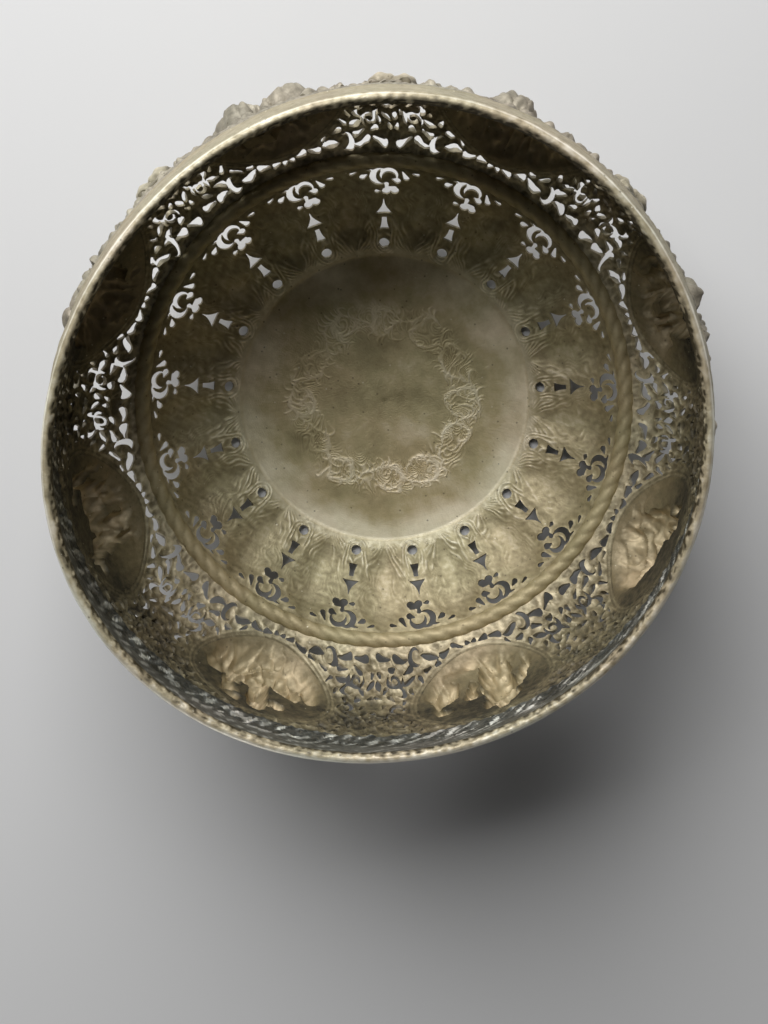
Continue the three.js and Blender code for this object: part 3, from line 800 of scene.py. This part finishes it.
CURLS = {
    0: [((-0.22, 0.40), (-0.18, 0.55), 0.27, 0.85)],
    1: [((-0.22, 0.40), (-0.26, 0.55), 0.27, 0.85)],
    2: [((0.58, 0.25), (0.62, 0.45), 0.27, 0.85), ((-0.50, 0.30), (-0.42, 0.50), 0.32, 0.92)],
    3: [((-0.66, 0.20), (-0.62, 0.40), 0.28, 0.85)],
}
print("bars in each animal:", {animal: len(bars) for animal, bars in ANIMALS.items()})

# %% Relief and wear of a figure
# A bar of rise one stands as high as FIGURE_LIMIT times the hyperbolic tangent of FIGURE_RISE over
# FIGURE_SOFTNESS, so high bars flatten out below the limit. PLUMP widens every bar a little.
FIGURE_RISE = 9.2
FIGURE_LIMIT = 8.9
FIGURE_SOFTNESS = 7.4
PLUMP = 1.25


def bar_rise(x, y, start, end, girth, rise):
    """How far a rounded bar stands out at each point: a round section, with soft shoulders."""
    run = (end[0] - start[0], end[1] - start[1])
    share = np.clip(((x - start[0]) * run[0] + (y - start[1]) * run[1]) / (run[0] ** 2 + run[1] ** 2), 0, 1)
    far = np.hypot(x - start[0] - share * run[0], y - start[1] - share * run[1]) / (girth * PLUMP)
    return rise * np.where(far < 1, np.cos(np.clip(far, 0, 1) * math.pi / 2) ** 0.75, 0)


def figure_relief(x, y, bars):
    """Bars joined by a soft maximum: the fourth root of the sum of their fourth powers."""
    return sum(bar_rise(x, y, *bar) ** 4 for bar in bars) ** 0.25


def wobble(place, seed):
    """How far a point of a figure is shifted, in shares of the half height, so no bar is true."""
    return 0.07 * ripples(place, 11.0, seed) + 0.035 * ripples(place, 4.5, seed + 1)


def figure_tone(rise, place):
    """How rubbed a plaque is: its field pale near the rope only, the figure pale with creases."""
    figure = grow(rise, 0, 2.2) ** 1.5
    field = 0.03 + 0.47 * grow(place[..., 2], 62, -20)
    worn = 0.72 + 0.34 * creases(place, 7.0, seed=85) + 0.14 * ripples(place, 3.0, seed=87)
    return field + figure * (worn - field)


# %% The eight medallions
SOLDER = 0.03
MARGIN = 1.02


def make_medallion(bay):
    """One plaque in its seat, with its animal hammered outwards."""
    bars = list(ANIMALS.values())[bay % len(ANIMALS)] + CURLS.get(bay, [])
    facing = -1 if bay < BAYS / 2 else 1
    middle = SEAT_TURN + (bay + 0.5) * BAY_ANGLE
    u, v = np.meshgrid(middle + np.linspace(-MARGIN, MARGIN, 104) * MEDALLION_HALF_WIDTH / BELLY_RADIUS,
                       MEDALLION_CENTRE + np.linspace(-MARGIN, MARGIN, 86) * MEDALLION_HALF_HEIGHT)

    def oval(angle, height):
        """Distance to the edge of the plaque, positive on it."""
        return -seat_distance(angle, height, SOLDER)

    def relief(angle, height):
        """Millimetres outwards: the figure less its folds, running out at the plaque's edge."""
        place = on_wall(angle, height, 0)
        x = 1.07 * facing * (angle - middle) * BELLY_RADIUS / MEDALLION_HALF_HEIGHT + wobble(place, 71)
        y = 1.07 * (height - MEDALLION_CENTRE) / MEDALLION_HALF_HEIGHT + wobble(place, 73)
        body = FIGURE_LIMIT * np.tanh(FIGURE_RISE * figure_relief(x, y, bars) / FIGURE_SOFTNESS)
        folds = 2.2 * creases(place, 14.0, seed=75 + bay) + 1.1 * creases(place, 7.0, seed=85) - 0.8
        inwards = grow(oval(angle, height), 0, 10)
        fade = 0.6 * inwards**2 * (3 - 2 * inwards) + 0.4 * inwards
        beaten = 0.15 * ripples(place, 9.0, seed=86) * grow(inwards, 0, 0.25)
        return (body - folds * grow(body, 0, 3)) * fade + beaten

    piece = sheet(f"medallion_plaque_{bay + 1}", u, v, oval, 0.57, BELLY_RADIUS, on_wall,
                  lambda a, h: of_gauge(relief(a, h)),
                  lambda a, h: figure_tone(relief(a, h), on_wall(a, h, 0)))
    return stand_in(piece, f"medallion_{bay + 1}")


medallions = [make_medallion(bay) for bay in range(BAYS)]

# %% [markdown]
# ## The bosses
# Outside, a domed leaf with a lobed edge sits over the middle of each pierced section. It is one
# solid from its flat back to its carved face: a patch whose outline is a wavy oval.

# %% The eight bosses
# A knob is across, up, half width, half height and rise, and every second boss is turned over.
BOSS_CENTRE = 71.0
BOSS_HALF_WIDTH = 10.0
BOSS_HALF_HEIGHT = 13.5
BOSS_RISE = 3.85
BOSS_FOOT = 0.7
BOSS_MARGIN = 1.03
KNOBS = [(3.4, 3.2, 5.4, 5.2, 1.0), (-4.4, 1.0, 4.6, 6.4, 0.92), (1.0, -6.6, 4.8, 4.8, 0.85),
         (-3.4, 8.2, 3.8, 3.6, 0.7), (4.6, -1.4, 3.6, 3.4, 0.8)]


def dome(x, y, half_width, half_height):
    """The upper half of an ellipsoid: the root of one less the squares of its two shares."""
    return np.clip(1 - (x / half_width) ** 2 - (y / half_height) ** 2, 0, 1) ** 0.5


def make_boss(bay):
    """One leaf boss: a low leaf with grooves that fan out, under a cluster of round knobs."""
    middle = SEAT_TURN + (bay + 1) * BAY_ANGLE
    hand = 1 if bay % 2 else -1
    u, v = np.meshgrid(middle + np.linspace(-BOSS_MARGIN, BOSS_MARGIN, 64) * BOSS_HALF_WIDTH / BELLY_RADIUS,
                       BOSS_CENTRE + np.linspace(-BOSS_MARGIN, BOSS_MARGIN, 84) * BOSS_HALF_HEIGHT)

    def outline(angle, height):
        """Distance to the lobed edge: an oval that nine waves push in and out."""
        x = (angle - middle) * BELLY_RADIUS / BOSS_HALF_WIDTH
        y = (height - BOSS_CENTRE) / BOSS_HALF_HEIGHT
        return (0.93 + 0.06 * np.cos(9 * np.arctan2(x, y + 0.2)) - np.hypot(x, y)) * BOSS_HALF_WIDTH

    def face(angle, height):
        """Offset of the carved face: the highest of the low leaf and the knobs, with grooves."""
        x, y = (angle - middle) * BELLY_RADIUS * hand, height - BOSS_CENTRE
        total = 0.30 * dome(x, y, BOSS_HALF_WIDTH, BOSS_HALF_HEIGHT)
        for across, up, half_width, half_height, rise in KNOBS:
            total = np.maximum(total, rise * dome(x - across, y - up, half_width, half_height))
        grooves = 0.22 * np.cos(26 * np.arctan2(x, y + 15)) + 0.16 * np.cos(1.9 * y + 2 * np.sin(x))
        return HALF_GAUGE + SEAM + BOSS_FOOT + BOSS_RISE * total + grooves * grow(total, 0, 1 / 3)

    piece = sheet(f"leaf_boss_{bay + 1}", u, v, outline, 0.35, BELLY_RADIUS, on_wall,
                  lambda a, h: (HALF_GAUGE + SEAM, face(a, h)), lambda a, h: grow(face(a, h), 2.0, 3.4))
    return stand_in(piece, f"boss_{bay + 1}")


bosses = [make_boss(bay) for bay in range(BAYS)]

# %% [markdown]
# ## Rings: the rope, the rim wire and the collar
# These pieces go all the way round. Each is a closed profile carried round the axis, and the
# profile may change as it goes: the rope's section turns with its three strands.

# %% The ring builder


def ring(name, columns, profile, tone):
    """A closed profile carried round the axis. profile gives radius and height at each angle."""
    angles = np.arange(columns)[:, None] * 2 * math.pi / columns
    radius, height = profile(angles)
    sides = radius.shape[1]
    a, d, b, c = corners(columns, sides, looped=True)
    faces = np.concatenate([np.stack([a, b, c], -1), np.stack([a, c, d], -1)]).reshape(-1, 3)
    rubbed = np.broadcast_to(tone(angles, np.arange(sides) / (sides - 1)), radius.shape)
    points = out_of_round(polar(radius, angles, height).reshape(-1, 3))
    return put_mesh(name, points, faces, rubbed.ravel())


# %% The rope
ROPE_STRANDS = 84
ROPE_STARTS = 3
ROPE_SIDES = 24


def strand(angle, turn):
    """One on the crest of a strand and nought between two, at an angle and a turn of the section."""
    return np.abs(np.cos((ROPE_STRANDS * angle + ROPE_STARTS * turn) / 2)) ** 0.7


def rope_profile(angle):
    """A round section whose radius dips between strands, which wind three at a time."""
    turn = np.arange(ROPE_SIDES) * 2 * math.pi / ROPE_SIDES
    reach = ROPE_HALF * (0.845 + 0.15 * strand(angle, turn))
    return ROPE_RADIUS + reach * np.cos(turn), ROPE_HEIGHT + reach * np.sin(turn)


def rope_tone(angle, share):
    """The crest of each strand is rubbed, and the groove between two strands is dark."""
    turn = share * 2 * math.pi * (ROPE_SIDES - 1) / ROPE_SIDES
    return 0.36 + 0.42 * strand(angle, turn) + 0.12 * waves(angle, 33, (9, 23, 47, 90))


rope = ring("rope_strands", ROPE_STRANDS * 10, rope_profile, rope_tone)
stand_in(rope, "rope_band")

# %% The rim wire
COLLAR_IN = HALF_GAUGE + SEAM
COLLAR_OUT = COLLAR_IN + 1.0
RIM_HALF_WIDTH = 4.2 / 2 * 0.97
RIM_THICKNESS = 2.6 * 0.98
RIM_CENTRE = BELLY_RADIUS - MOUTH_DRAW_IN + (COLLAR_OUT - HALF_GAUGE) / 2
RIM_FOOT = on_wall(0.0, WALL_TOP, COLLAR_OUT)[2] + SEAM
MOUTH_RADIUS = 115.0


def rim_profile(angle):
    """A half-round wire, a little uneven in width and height, with lumps of solder inside."""
    turn = np.linspace(0, math.pi, 19)
    uneven = 1 + 0.05 * waves(angle, 3, (5, 11, 23, 41)) * (1 + np.cos(turn)) / 2
    lumps = np.clip(2 * ripples(polar(MOUTH_RADIUS, angle, 2 * turn), 4.0, seed=93), 0, 1)
    half = RIM_HALF_WIDTH * uneven
    reach = half + (0.5 * lumps - 0.45) * bell(turn, 2.6, 0.4)
    rise = RIM_THICKNESS * np.sin(turn) * (uneven * 0.02 + 0.98)
    return RIM_CENTRE + reach * np.cos(turn), RIM_FOOT + rise * np.where(turn > 2, reach / half, 1)


def rim_tone(angle, share):
    """How bright the wire is: a painted highlight near its outer side, stronger where worn, a tan back,
    dark solder inside.

    On the side that lies lowest in the picture the painted highlight is wider and the back paler."""
    place = polar(MOUTH_RADIUS, angle, 6 * share)
    # Painted highlight: line is a pale line along the wire's crest, and the side lowest in the picture gets
    # a wider line and a paler back.
    painted_highlight_side = swell(angle + math.pi / 2, 1.5)
    line = bell(share, 0.26 + 0.03 * waves(angle, 8, (7, 13, 29)), 0.045 + 0.08 * painted_highlight_side)
    worn = np.clip(0.55 + 0.8 * waves(angle, 9, (3, 5, 9, 21)), 0, 1)
    inner = grow(share, 0.48, 0.10)
    back = 0.38 + 0.14 * worn + 0.16 * painted_highlight_side - inner * (0.08 + 0.10 * worn)
    back = back + (0.11 + 0.08 * inner) * ripples(place, 3.0, seed=92)
    specks = np.clip(2.4 * ripples(place, 2.2, seed=91) + 0.1, 0, 1) * (1 - 0.6 * painted_highlight_side)
    solder = 0.40 * grow(share, 0.60, 0.10) * specks + 0.25 * grow(share, 0.82, 0.1)
    return np.clip(back + line * (0.30 + 0.25 * worn) - solder, 0, 1)


rim = ring("rim_wire_worn_and_highlit", 1440, rim_profile, rim_tone)
stand_in(rim, "rim_wire")

# %% The collar
COLLAR_FOOT = WALL_TOP - 20.0
COLLAR_RADIUS = 118.0


def collar_profile(angle):
    """A thin band outside the neck, dented by use, with a small roll along its foot."""
    heights = np.linspace(COLLAR_FOOT, WALL_TOP, 25)
    place = polar(COLLAR_RADIUS, angle, heights)
    dents = 0.20 * ripples(place, 12.0, seed=94) + 0.12 * ripples(place, 5.0, seed=95) - 0.34
    outer = on_wall(0.0, heights, COLLAR_OUT + 0.35 * bell(heights, COLLAR_FOOT + 0.9, 0.8))
    inner = on_wall(0.0, heights, COLLAR_IN)[::-1]
    radius = np.concatenate([outer[:, 0] + dents, np.broadcast_to(inner[:, 0], dents.shape)], 1)
    return radius, np.concatenate([outer[:, 2], inner[:, 2]])


collar = ring("collar_worn", 720, collar_profile, lambda angle, share: np.array(0.5))
stand_in(collar, "collar_band")

# %% [markdown]
# ## The base and its wreath
# The flat disc has a wreath chased between about two fifths and two thirds of its radius: a vine
# that swings in and out, a scroll with fronds in each of its twelve bays, and many short strokes
# along its stem. Each stroke tapers and curls in. The depth at a point is the highest of them.

# %% The strokes of the wreath
WREATH_INNER = 26.5
WREATH_OUTER = 43.5
WREATH_MIDDLE = (WREATH_INNER + WREATH_OUTER) / 2
SCROLLS = 12
SWINGS = SCROLLS / 2
VINE_SWING = 6.0
SCROLL_BEND = 6.0
FRONDS = 13
STATIONS = 240


def vine_radius(angle):
    """The radius of the vine's stem, which swings in and out six times round the wreath."""
    return WREATH_MIDDLE + VINE_SWING * np.cos(SWINGS * angle)


def scroll_strokes(dice, scroll):
    """Roots, headings, bends, lengths and widths: one scroll, and the fronds along its outside."""
    hand = 1 if scroll % 2 == 0 else -1
    turn = 2 * math.pi * (scroll + dice.uniform(-0.12, 0.12)) / SCROLLS
    root = vine_radius(turn) * np.array([math.cos(turn), math.sin(turn)])
    heading = turn + math.pi / 2
    bend = SCROLL_BEND * dice.uniform(0.75, 1.15)
    strokes = [(root, heading, hand * bend, dice.uniform(18.0, 25.0), 0.75)]
    centre = root + hand * bend * np.array([-math.sin(heading), math.cos(heading)])
    for frond in range(FRONDS):
        swept = 0.2 + 0.29 * frond + dice.uniform(-0.06, 0.06)
        spoke = heading + hand * (swept - math.pi / 2)
        reach = bend * (1 - CURL_IN * (swept / 4) ** 2)
        foot = centre + reach * np.array([math.cos(spoke), math.sin(spoke)])
        if frond % 3 == 2:
            lean, curl, length = 0.5, 2.4, dice.uniform(3.0, 4.4)
        else:
            lean, curl, length = -dice.uniform(0.3, 0.6), dice.uniform(3.6, 6.0), dice.uniform(5.0, 8.5)
        along = spoke + hand * (math.pi / 2 + lean)
        strokes.append((foot, along, hand * curl, length, dice.uniform(0.55, 0.75)))
    return strokes


def stem_stroke(dice, station):
    """One short stroke that leaves the vine's stem to one side, with a curl either way."""
    turn = 2 * math.pi * (station + dice.uniform(-0.3, 0.3)) / STATIONS
    radius = vine_radius(turn) + dice.uniform(-0.4, 0.4)
    climb = -SWINGS * VINE_SWING * math.sin(SWINGS * turn) / radius
    side = 1 if station % 2 else -1
    curl = side * dice.uniform(2.4, 6.0) * (1 if dice.uniform() > 0.3 else -1)
    heading = turn + math.pi / 2 - math.atan(climb) + side * dice.uniform(0.1, 0.9)
    root = (radius * math.cos(turn), radius * math.sin(turn))
    return root, heading, curl, dice.uniform(3.0, 9.0), dice.uniform(0.45, 0.7)


dice = np.random.default_rng(12)
wreath = [one for scroll in range(SCROLLS) for one in scroll_strokes(dice, scroll)]
wreath += [stem_stroke(dice, station) for station in range(STATIONS)]
print("strokes in the wreath:", len(wreath))

# %% The depth of the wreath


def wreath_relief(x, y):
    """The highest of the vine, the curls and all the strokes at each point, worn on one side."""
    place = polar(np.hypot(x, y), np.arctan2(y, x), 0.0)
    x = x + 1.5 * ripples(place, 10.0, seed=46)
    y = y + 1.5 * ripples(place, 10.0, seed=47)
    radius, angle = np.hypot(x, y), np.arctan2(y, x)
    slope = -SWINGS * VINE_SWING * np.sin(SWINGS * angle) / radius
    total = 0.8 * bell((radius - vine_radius(angle)) / np.sqrt(1 + slope**2), 0, 0.6)
    curls = 0.55 * swell(2 * math.pi * 4.5 * ripples(place, 12.0, seed=40), 1.5)
    total = np.maximum(total, curls * grow(np.abs(radius - WREATH_MIDDLE), 8.5, -4))
    for one in wreath:
        total = np.maximum(total, stroke(x, y, *one))
    worn = 0.72 + 0.28 * np.cos(angle + math.radians(60)) + 0.2 * waves(angle, 35, (2, 5, 9))
    ends = grow(radius, WREATH_INNER - 2, 2) * grow(radius, WREATH_OUTER + 2, -2)
    return total * np.clip(worn, 0.25, 1) * ends


# %% The disc
BASE_COLUMNS = 880
WREATH_DEPTH = 0.62
BASE_FALL = 0.45


def make_base():
    """The base disc: a polar grid on its top, five rings down its edge to its flat underside."""
    radii = np.concatenate([np.linspace(2.0, WREATH_INNER - 2.5, 12),
                            np.linspace(WREATH_INNER - 2, WREATH_OUTER + 2, 68),
                            np.linspace(WREATH_OUTER + 3, BASE_RADIUS - 0.9, 20)])[:, None]
    angles = np.arange(BASE_COLUMNS) * 2 * math.pi / BASE_COLUMNS
    place = polar(radii, angles, 0.0)
    ridges = wreath_relief(place[..., 0], place[..., 1])
    uneven = 0.08 * ripples(place, 16.0, seed=36) + 0.03 * ripples(place, 5.0, seed=37)
    roll = 0.10 * soft_step(radii, BASE_RADIUS - 6.5, 3.0)
    top = polar(radii, angles, BASE_THICKNESS - BASE_FALL + WREATH_DEPTH * ridges + roll + uneven)
    edge = np.array([(BASE_RADIUS + SEAM - 0.03, BASE_THICKNESS + 0.32),
                     (BASE_RADIUS + SEAM + 0.25, BASE_THICKNESS - 0.2),
                     (BASE_RADIUS + 0.1, 0.5), (BASE_RADIUS - 0.5, 0), (BASE_RADIUS * 0.5, 0), (2, 0)])
    side = polar(edge[:, :1], angles, edge[:, 1:])
    centres = np.array([[0, 0, BASE_THICKNESS - BASE_FALL], [0, 0, 0]])
    points = np.concatenate([top.reshape(-1, 3), side.reshape(-1, 3), centres])
    a, b, d, c = (corner.ravel() for corner in corners(len(radii) + len(edge), BASE_COLUMNS))
    first = np.arange(BASE_COLUMNS)
    after = (first + 1) % BASE_COLUMNS
    last = len(points) - 2 - BASE_COLUMNS
    top_centre, under_centre = np.full_like(first, len(points) - 2), np.full_like(first, len(points) - 1)
    faces = np.concatenate([np.stack([a, d, c], -1), np.stack([a, c, b], -1),
                            np.stack([top_centre, first, after], -1),
                            np.stack([under_centre, last + after, last + first], -1)])
    # Painted light: near paints the disc and its outer ring paler on the side lowest in the picture, where
    # the light falls, and far paints a lift of light into the wall's shadow on the opposite side.
    near = swell(angles + math.radians(75), 1.3)
    far = swell(angles - math.radians(100), 2) * grow(radii, 38, 12)
    rubbed = (0.30 + 0.56 * ridges + 0.80 * soft_step(radii, BASE_RADIUS - 8, 5.0) * near + 0.10 * near
              + 0.30 * far + 0.16 * ripples(place, 26.0, seed=38) + 0.07 * ripples(place, 7.0, seed=39))
    tone = np.zeros(len(points))
    tone[:rubbed.size] = np.clip(rubbed, 0, 1).ravel()
    tone[rubbed.size:rubbed.size + BASE_COLUMNS] = 0.6
    return put_mesh("base_disc", points, faces, tone)


base = stand_in(make_base(), "base_plate")

# %% [markdown]
# ## The finish: old silver
# Silver that is kept but not polished turns grey-brown with a thin sulphide film. The film stays
# in the hollows and is rubbed off the high lines, where the metal shows paler and shinier. One
# function makes this finish, and each piece gets its own colours and roughness.

# %% Colour and node helpers


def linear(hex_colour):
    """An sRGB hex colour as linear red, green, blue and alpha."""
    channels = [int(hex_colour[i:i + 2], 16) / 255 for i in (1, 3, 5)]
    return [c / 12.92 if c <= 0.04045 else ((c + 0.055) / 1.055) ** 2.4 for c in channels] + [1.0]


def add_node(material, kind, links=None, values=None, stops=None, **settings):
    """Adds a node: settings go to its properties or named inputs, and values to numbered inputs.

    links joins its inputs to other outputs, and stops gives a colour ramp its hex colours."""
    node = material.node_tree.nodes.new("ShaderNode" + kind)
    for name, value in settings.items():
        if hasattr(node, name):
            setattr(node, name, value)
        else:
            node.inputs[name.replace("_", " ")].default_value = value
    for number, value in (values or {}).items():
        node.inputs[number].default_value = value
    for number, (place, colour) in enumerate(stops or ()):
        elements = node.color_ramp.elements
        element = elements[number] if number < len(elements) else elements.new(place)
        element.position, element.color = place, linear(colour)
    for name, source in (links or {}).items():
        material.node_tree.links.new(source, node.inputs[name])
    return node


print("mid grey in linear light:", round(linear("#808080")[0], 3))

# %% Old silver
# Each cloud has a size in millimetres, its detail, its roughness and how far it is twisted. Each
# kind of fleck has the spacing in millimetres, the share of it where the fleck starts to fade and
# where it ends, its strength and its colour: pale dust, and dark pits.
CLOUDS = {"broad": (25.0, 5.0, 0.6, 0.0), "mottle": (3.125, 4.0, 0.65, 0.0),
          "grain": (1 / 1.3, 2.0, 0.6, 0.0), "drift": (125 / 3, 3.0, 0.5, 0.6)}
FLECKS = [(20 / 3, 0.035, 0.065, 0.65, "#e6e0c8"), (100 / 23, 0.07, 0.12, 0.55, "#4d432f")]
DARK_STOP, FILM_STOP, RUBBED_STOP = 0.18, 0.46, 0.85
METAL_SHARE = 0.3
CLOUD_SWING = 0.22
PIT_DEPTH = 0.4
DENT_DEPTH = 0.9


def old_silver(name, colours, outside=None, tone_share=0.6, roughness=0.55, bump=0.3, cloudiness=0.6):
    """Old silver: a cloudy film, paler where the tone attribute says so, from wear and in some pieces from
    painted light.

    The colour runs from dark through film to rubbed by a weighted sum of the tone and of a broad
    and a small cloud. It drifts a little in hue, and has pale dust and dark pits. outside gives
    the outer skin two colours of its own."""
    material = bpy.data.materials.new(name)
    material.use_nodes = True
    join = material.node_tree.links.new
    shader = material.node_tree.nodes["Principled BSDF"]
    place = add_node(material, "TexCoord").outputs["Object"]
    clouds = {}
    for label, (size, detail, rough, twist) in CLOUDS.items():
        clouds[label] = add_node(material, "TexNoise", {"Vector": place}, Scale=1 / (size * MM),
                                 Detail=detail, Roughness=rough, Distortion=twist).outputs["Fac"]
    tone = add_node(material, "Attribute", attribute_name="tone").outputs["Fac"]
    both = add_node(material, "Math", {0: clouds["broad"], 1: clouds["mottle"]}, operation="ADD")
    level = (1 - tone_share) / 2
    cloudy = add_node(material, "MapRange", {"Value": both.outputs["Value"]}, clamp=False, From_Min=1.0,
                      From_Max=1.4, To_Min=level, To_Max=level + CLOUD_SWING * cloudiness).outputs["Result"]
    amount = add_node(material, "Math", {0: tone, 2: cloudy}, {1: tone_share}, operation="MULTIPLY_ADD")
    colour = add_node(material, "ValToRGB", {"Fac": amount.outputs["Value"]},
                      stops=zip((DARK_STOP, FILM_STOP, RUBBED_STOP), colours.split())).outputs["Color"]
    if outside is not None:
        worn = add_node(material, "ValToRGB", {"Fac": cloudy},
                        stops=[(level - 0.09, outside[0]), (level + 0.09, outside[1])]).outputs["Color"]
        outer = add_node(material, "Attribute", attribute_name="outer").outputs["Fac"]
        colour = add_node(material, "Mix", {0: outer, 6: colour, 7: worn}, data_type="RGBA").outputs[2]
    tint = add_node(material, "ValToRGB", {"Fac": clouds["drift"]},
                    stops=[(0.40, "#fbfaf0"), (0.60, "#fff8ef")]).outputs["Color"]
    colour = add_node(material, "Mix", {6: colour, 7: tint}, {0: 1.0}, data_type="RGBA",
                      blend_type="MULTIPLY").outputs[2]
    for spacing, near, far, strength, fleck in FLECKS:
        cells = add_node(material, "TexVoronoi", {"Vector": place}, Scale=1 / (spacing * MM))
        share = add_node(material, "MapRange", {"Value": cells.outputs["Distance"]}, From_Min=near,
                         From_Max=far, To_Min=strength, To_Max=0.0)
        colour = add_node(material, "Mix", {0: share.outputs["Result"], 6: colour},
                          {7: linear(fleck)}, data_type="RGBA").outputs[2]
    rough = add_node(material, "MapRange", {"Value": clouds["mottle"]}, From_Min=0.3, From_Max=0.7,
                     To_Min=roughness + 0.08, To_Max=roughness - 0.08)
    pits = add_node(material, "Bump", {"Height": clouds["grain"]}, Strength=bump, Distance=PIT_DEPTH * MM)
    dents = add_node(material, "Bump", {"Height": clouds["mottle"], "Normal": pits.outputs["Normal"]},
                     Strength=bump, Distance=DENT_DEPTH * MM)
    join(colour, shader.inputs["Base Color"])
    join(rough.outputs["Result"], shader.inputs["Roughness"])
    join(dents.outputs["Normal"], shader.inputs["Normal"])
    shader.inputs["Metallic"].default_value = METAL_SHARE
    return material


# %% The finish of each piece
# The three colours are those of its hollows, of its film and of its rubbed lines. The disc, the
# leaves and the rope are easy to wipe, so they are pale, and the disc's tone also paints light on
# its lit side. The dark film stays in the pierced frieze, in the figures and on the neck, and leaves
# them nearly black between the rubbed lines. The rim wire is worn bright in places and carries a
# painted highlight along its crest. Outside, the film is an even grey.
GREY = ("#6d6960", "#a39e92")
FINISHES = [
    ([base], "tarnished_silver_disc", "#837b5a #bdb28f #fdf6e2", {"cloudiness": 0.4}),
    (calyx, "tarnished_silver_leaves", "#685f44 #b6ad8e #fffae8", {"outside": GREY, "cloudiness": 0.45}),
    ([rope], "rubbed_silver_rope", "#6e6547 #9d9374 #c6bb9a", {"tone_share": 0.5}),
    (sections, "dark_silver_scrollwork", "#2f2d27 #7c745e #d6cdb2", {"outside": GREY, "cloudiness": 0.7}),
    ([neck], "dark_silver_neck", "#2b2d2c #686a6a #e5e8e8", {"outside": GREY, "cloudiness": 0.7}),
    (medallions, "warm_silver_figures", "#302f2a #80765d #c3b497", {"outside": GREY, "cloudiness": 0.5}),
    (bosses, "grey_silver_bosses", "#5f5b4f #8b8677 #bdb8a8", {"cloudiness": 0.8}),
    ([collar], "grey_silver_collar", "#645f52 #918a77 #bcb49c",
     {"tone_share": 0.3, "bump": 0.6, "cloudiness": 0.7}),
    ([rim], "bright_silver_wire", "#3f392a #a59c86 #e7e6de", {"tone_share": 0.8, "roughness": 0.5}),
]
for pieces, name, colours, settings in FINISHES:
    material = old_silver(name, colours, **settings)
    for piece in pieces:
        piece.data.materials.append(material)
    print(name, "on", len(pieces), "pieces")

# %% [markdown]
# ## Floor, light and camera
# The photograph is taken into the mouth of the bowl, from a little over half a metre. Here the
# bowl stands up, so the camera hangs above it and looks down. The soft light comes from the side
# that is up in the picture, and lights the near wall inside while the far wall stays dark.

# %% The floor
FLOOR_REACH = 3.0
floor_mesh = bpy.data.meshes.new("floor")
floor_mesh.from_pydata([(-FLOOR_REACH, -FLOOR_REACH, 0), (FLOOR_REACH, -FLOOR_REACH, 0),
                        (FLOOR_REACH, FLOOR_REACH, 0), (-FLOOR_REACH, FLOOR_REACH, 0)], [], [(0, 1, 2, 3)])
floor = bpy.data.objects.new("floor", floor_mesh)
bpy.context.scene.collection.objects.link(floor)
floor_paint = bpy.data.materials.new("pale_paper_floor")
floor_paint.use_nodes = True
paper = floor_paint.node_tree.nodes["Principled BSDF"].inputs
paper["Base Color"].default_value = linear("#cfcfcf")
paper["Roughness"].default_value = 0.9
floor.data.materials.append(floor_paint)
print("the floor reaches", FLOOR_REACH, "m to each side")

# %% The lights
world = bpy.data.worlds.new("soft_room")
bpy.context.scene.world = world
world.use_nodes = True
room = world.node_tree.nodes["Background"].inputs
room["Color"].default_value = (1, 1, 1, 1)
room["Strength"].default_value = 0.03


def soft_box(name, place, target, size, power):
    """A square area light of a size in metres and a power in watts, turned to a target."""
    lamp = bpy.data.lights.new(name, "AREA")
    lamp.size = size
    lamp.energy = power
    holder = bpy.data.objects.new(name, lamp)
    bpy.context.scene.collection.objects.link(holder)
    holder.location = place
    holder.rotation_euler = (Vector(target) - Vector(place)).to_track_quat("-Z", "Y").to_euler()
    print(name, power, "watts")


soft_box("window_light", (-0.32, 1.02, 0.86), (0, -0.03, 0.03), size=1.2, power=34.0)
soft_box("low_fill", (-0.5, -1.2, 0.12), (0, 0, 0.08), size=0.20, power=3.0)

# %% The camera, fitted to the photograph
SENSOR = 36.0
PICTURE_HEIGHT = 1024.0
FOCAL_PIXELS = 1400.0
camera_data = bpy.data.cameras.new("camera")
camera_data.sensor_width = SENSOR
camera_data.lens = FOCAL_PIXELS / PICTURE_HEIGHT * SENSOR
camera = bpy.data.objects.new("camera", camera_data)
camera.location = (0.0129, 0.0803, 0.6098)
camera.rotation_euler = (math.radians(-12.08), math.radians(1.23), 0)
bpy.context.scene.collection.objects.link(camera)
bpy.context.scene.camera = camera
bpy.context.scene.view_settings.view_transform = "Standard"
print("lens", round(camera_data.lens, 1), "mm")
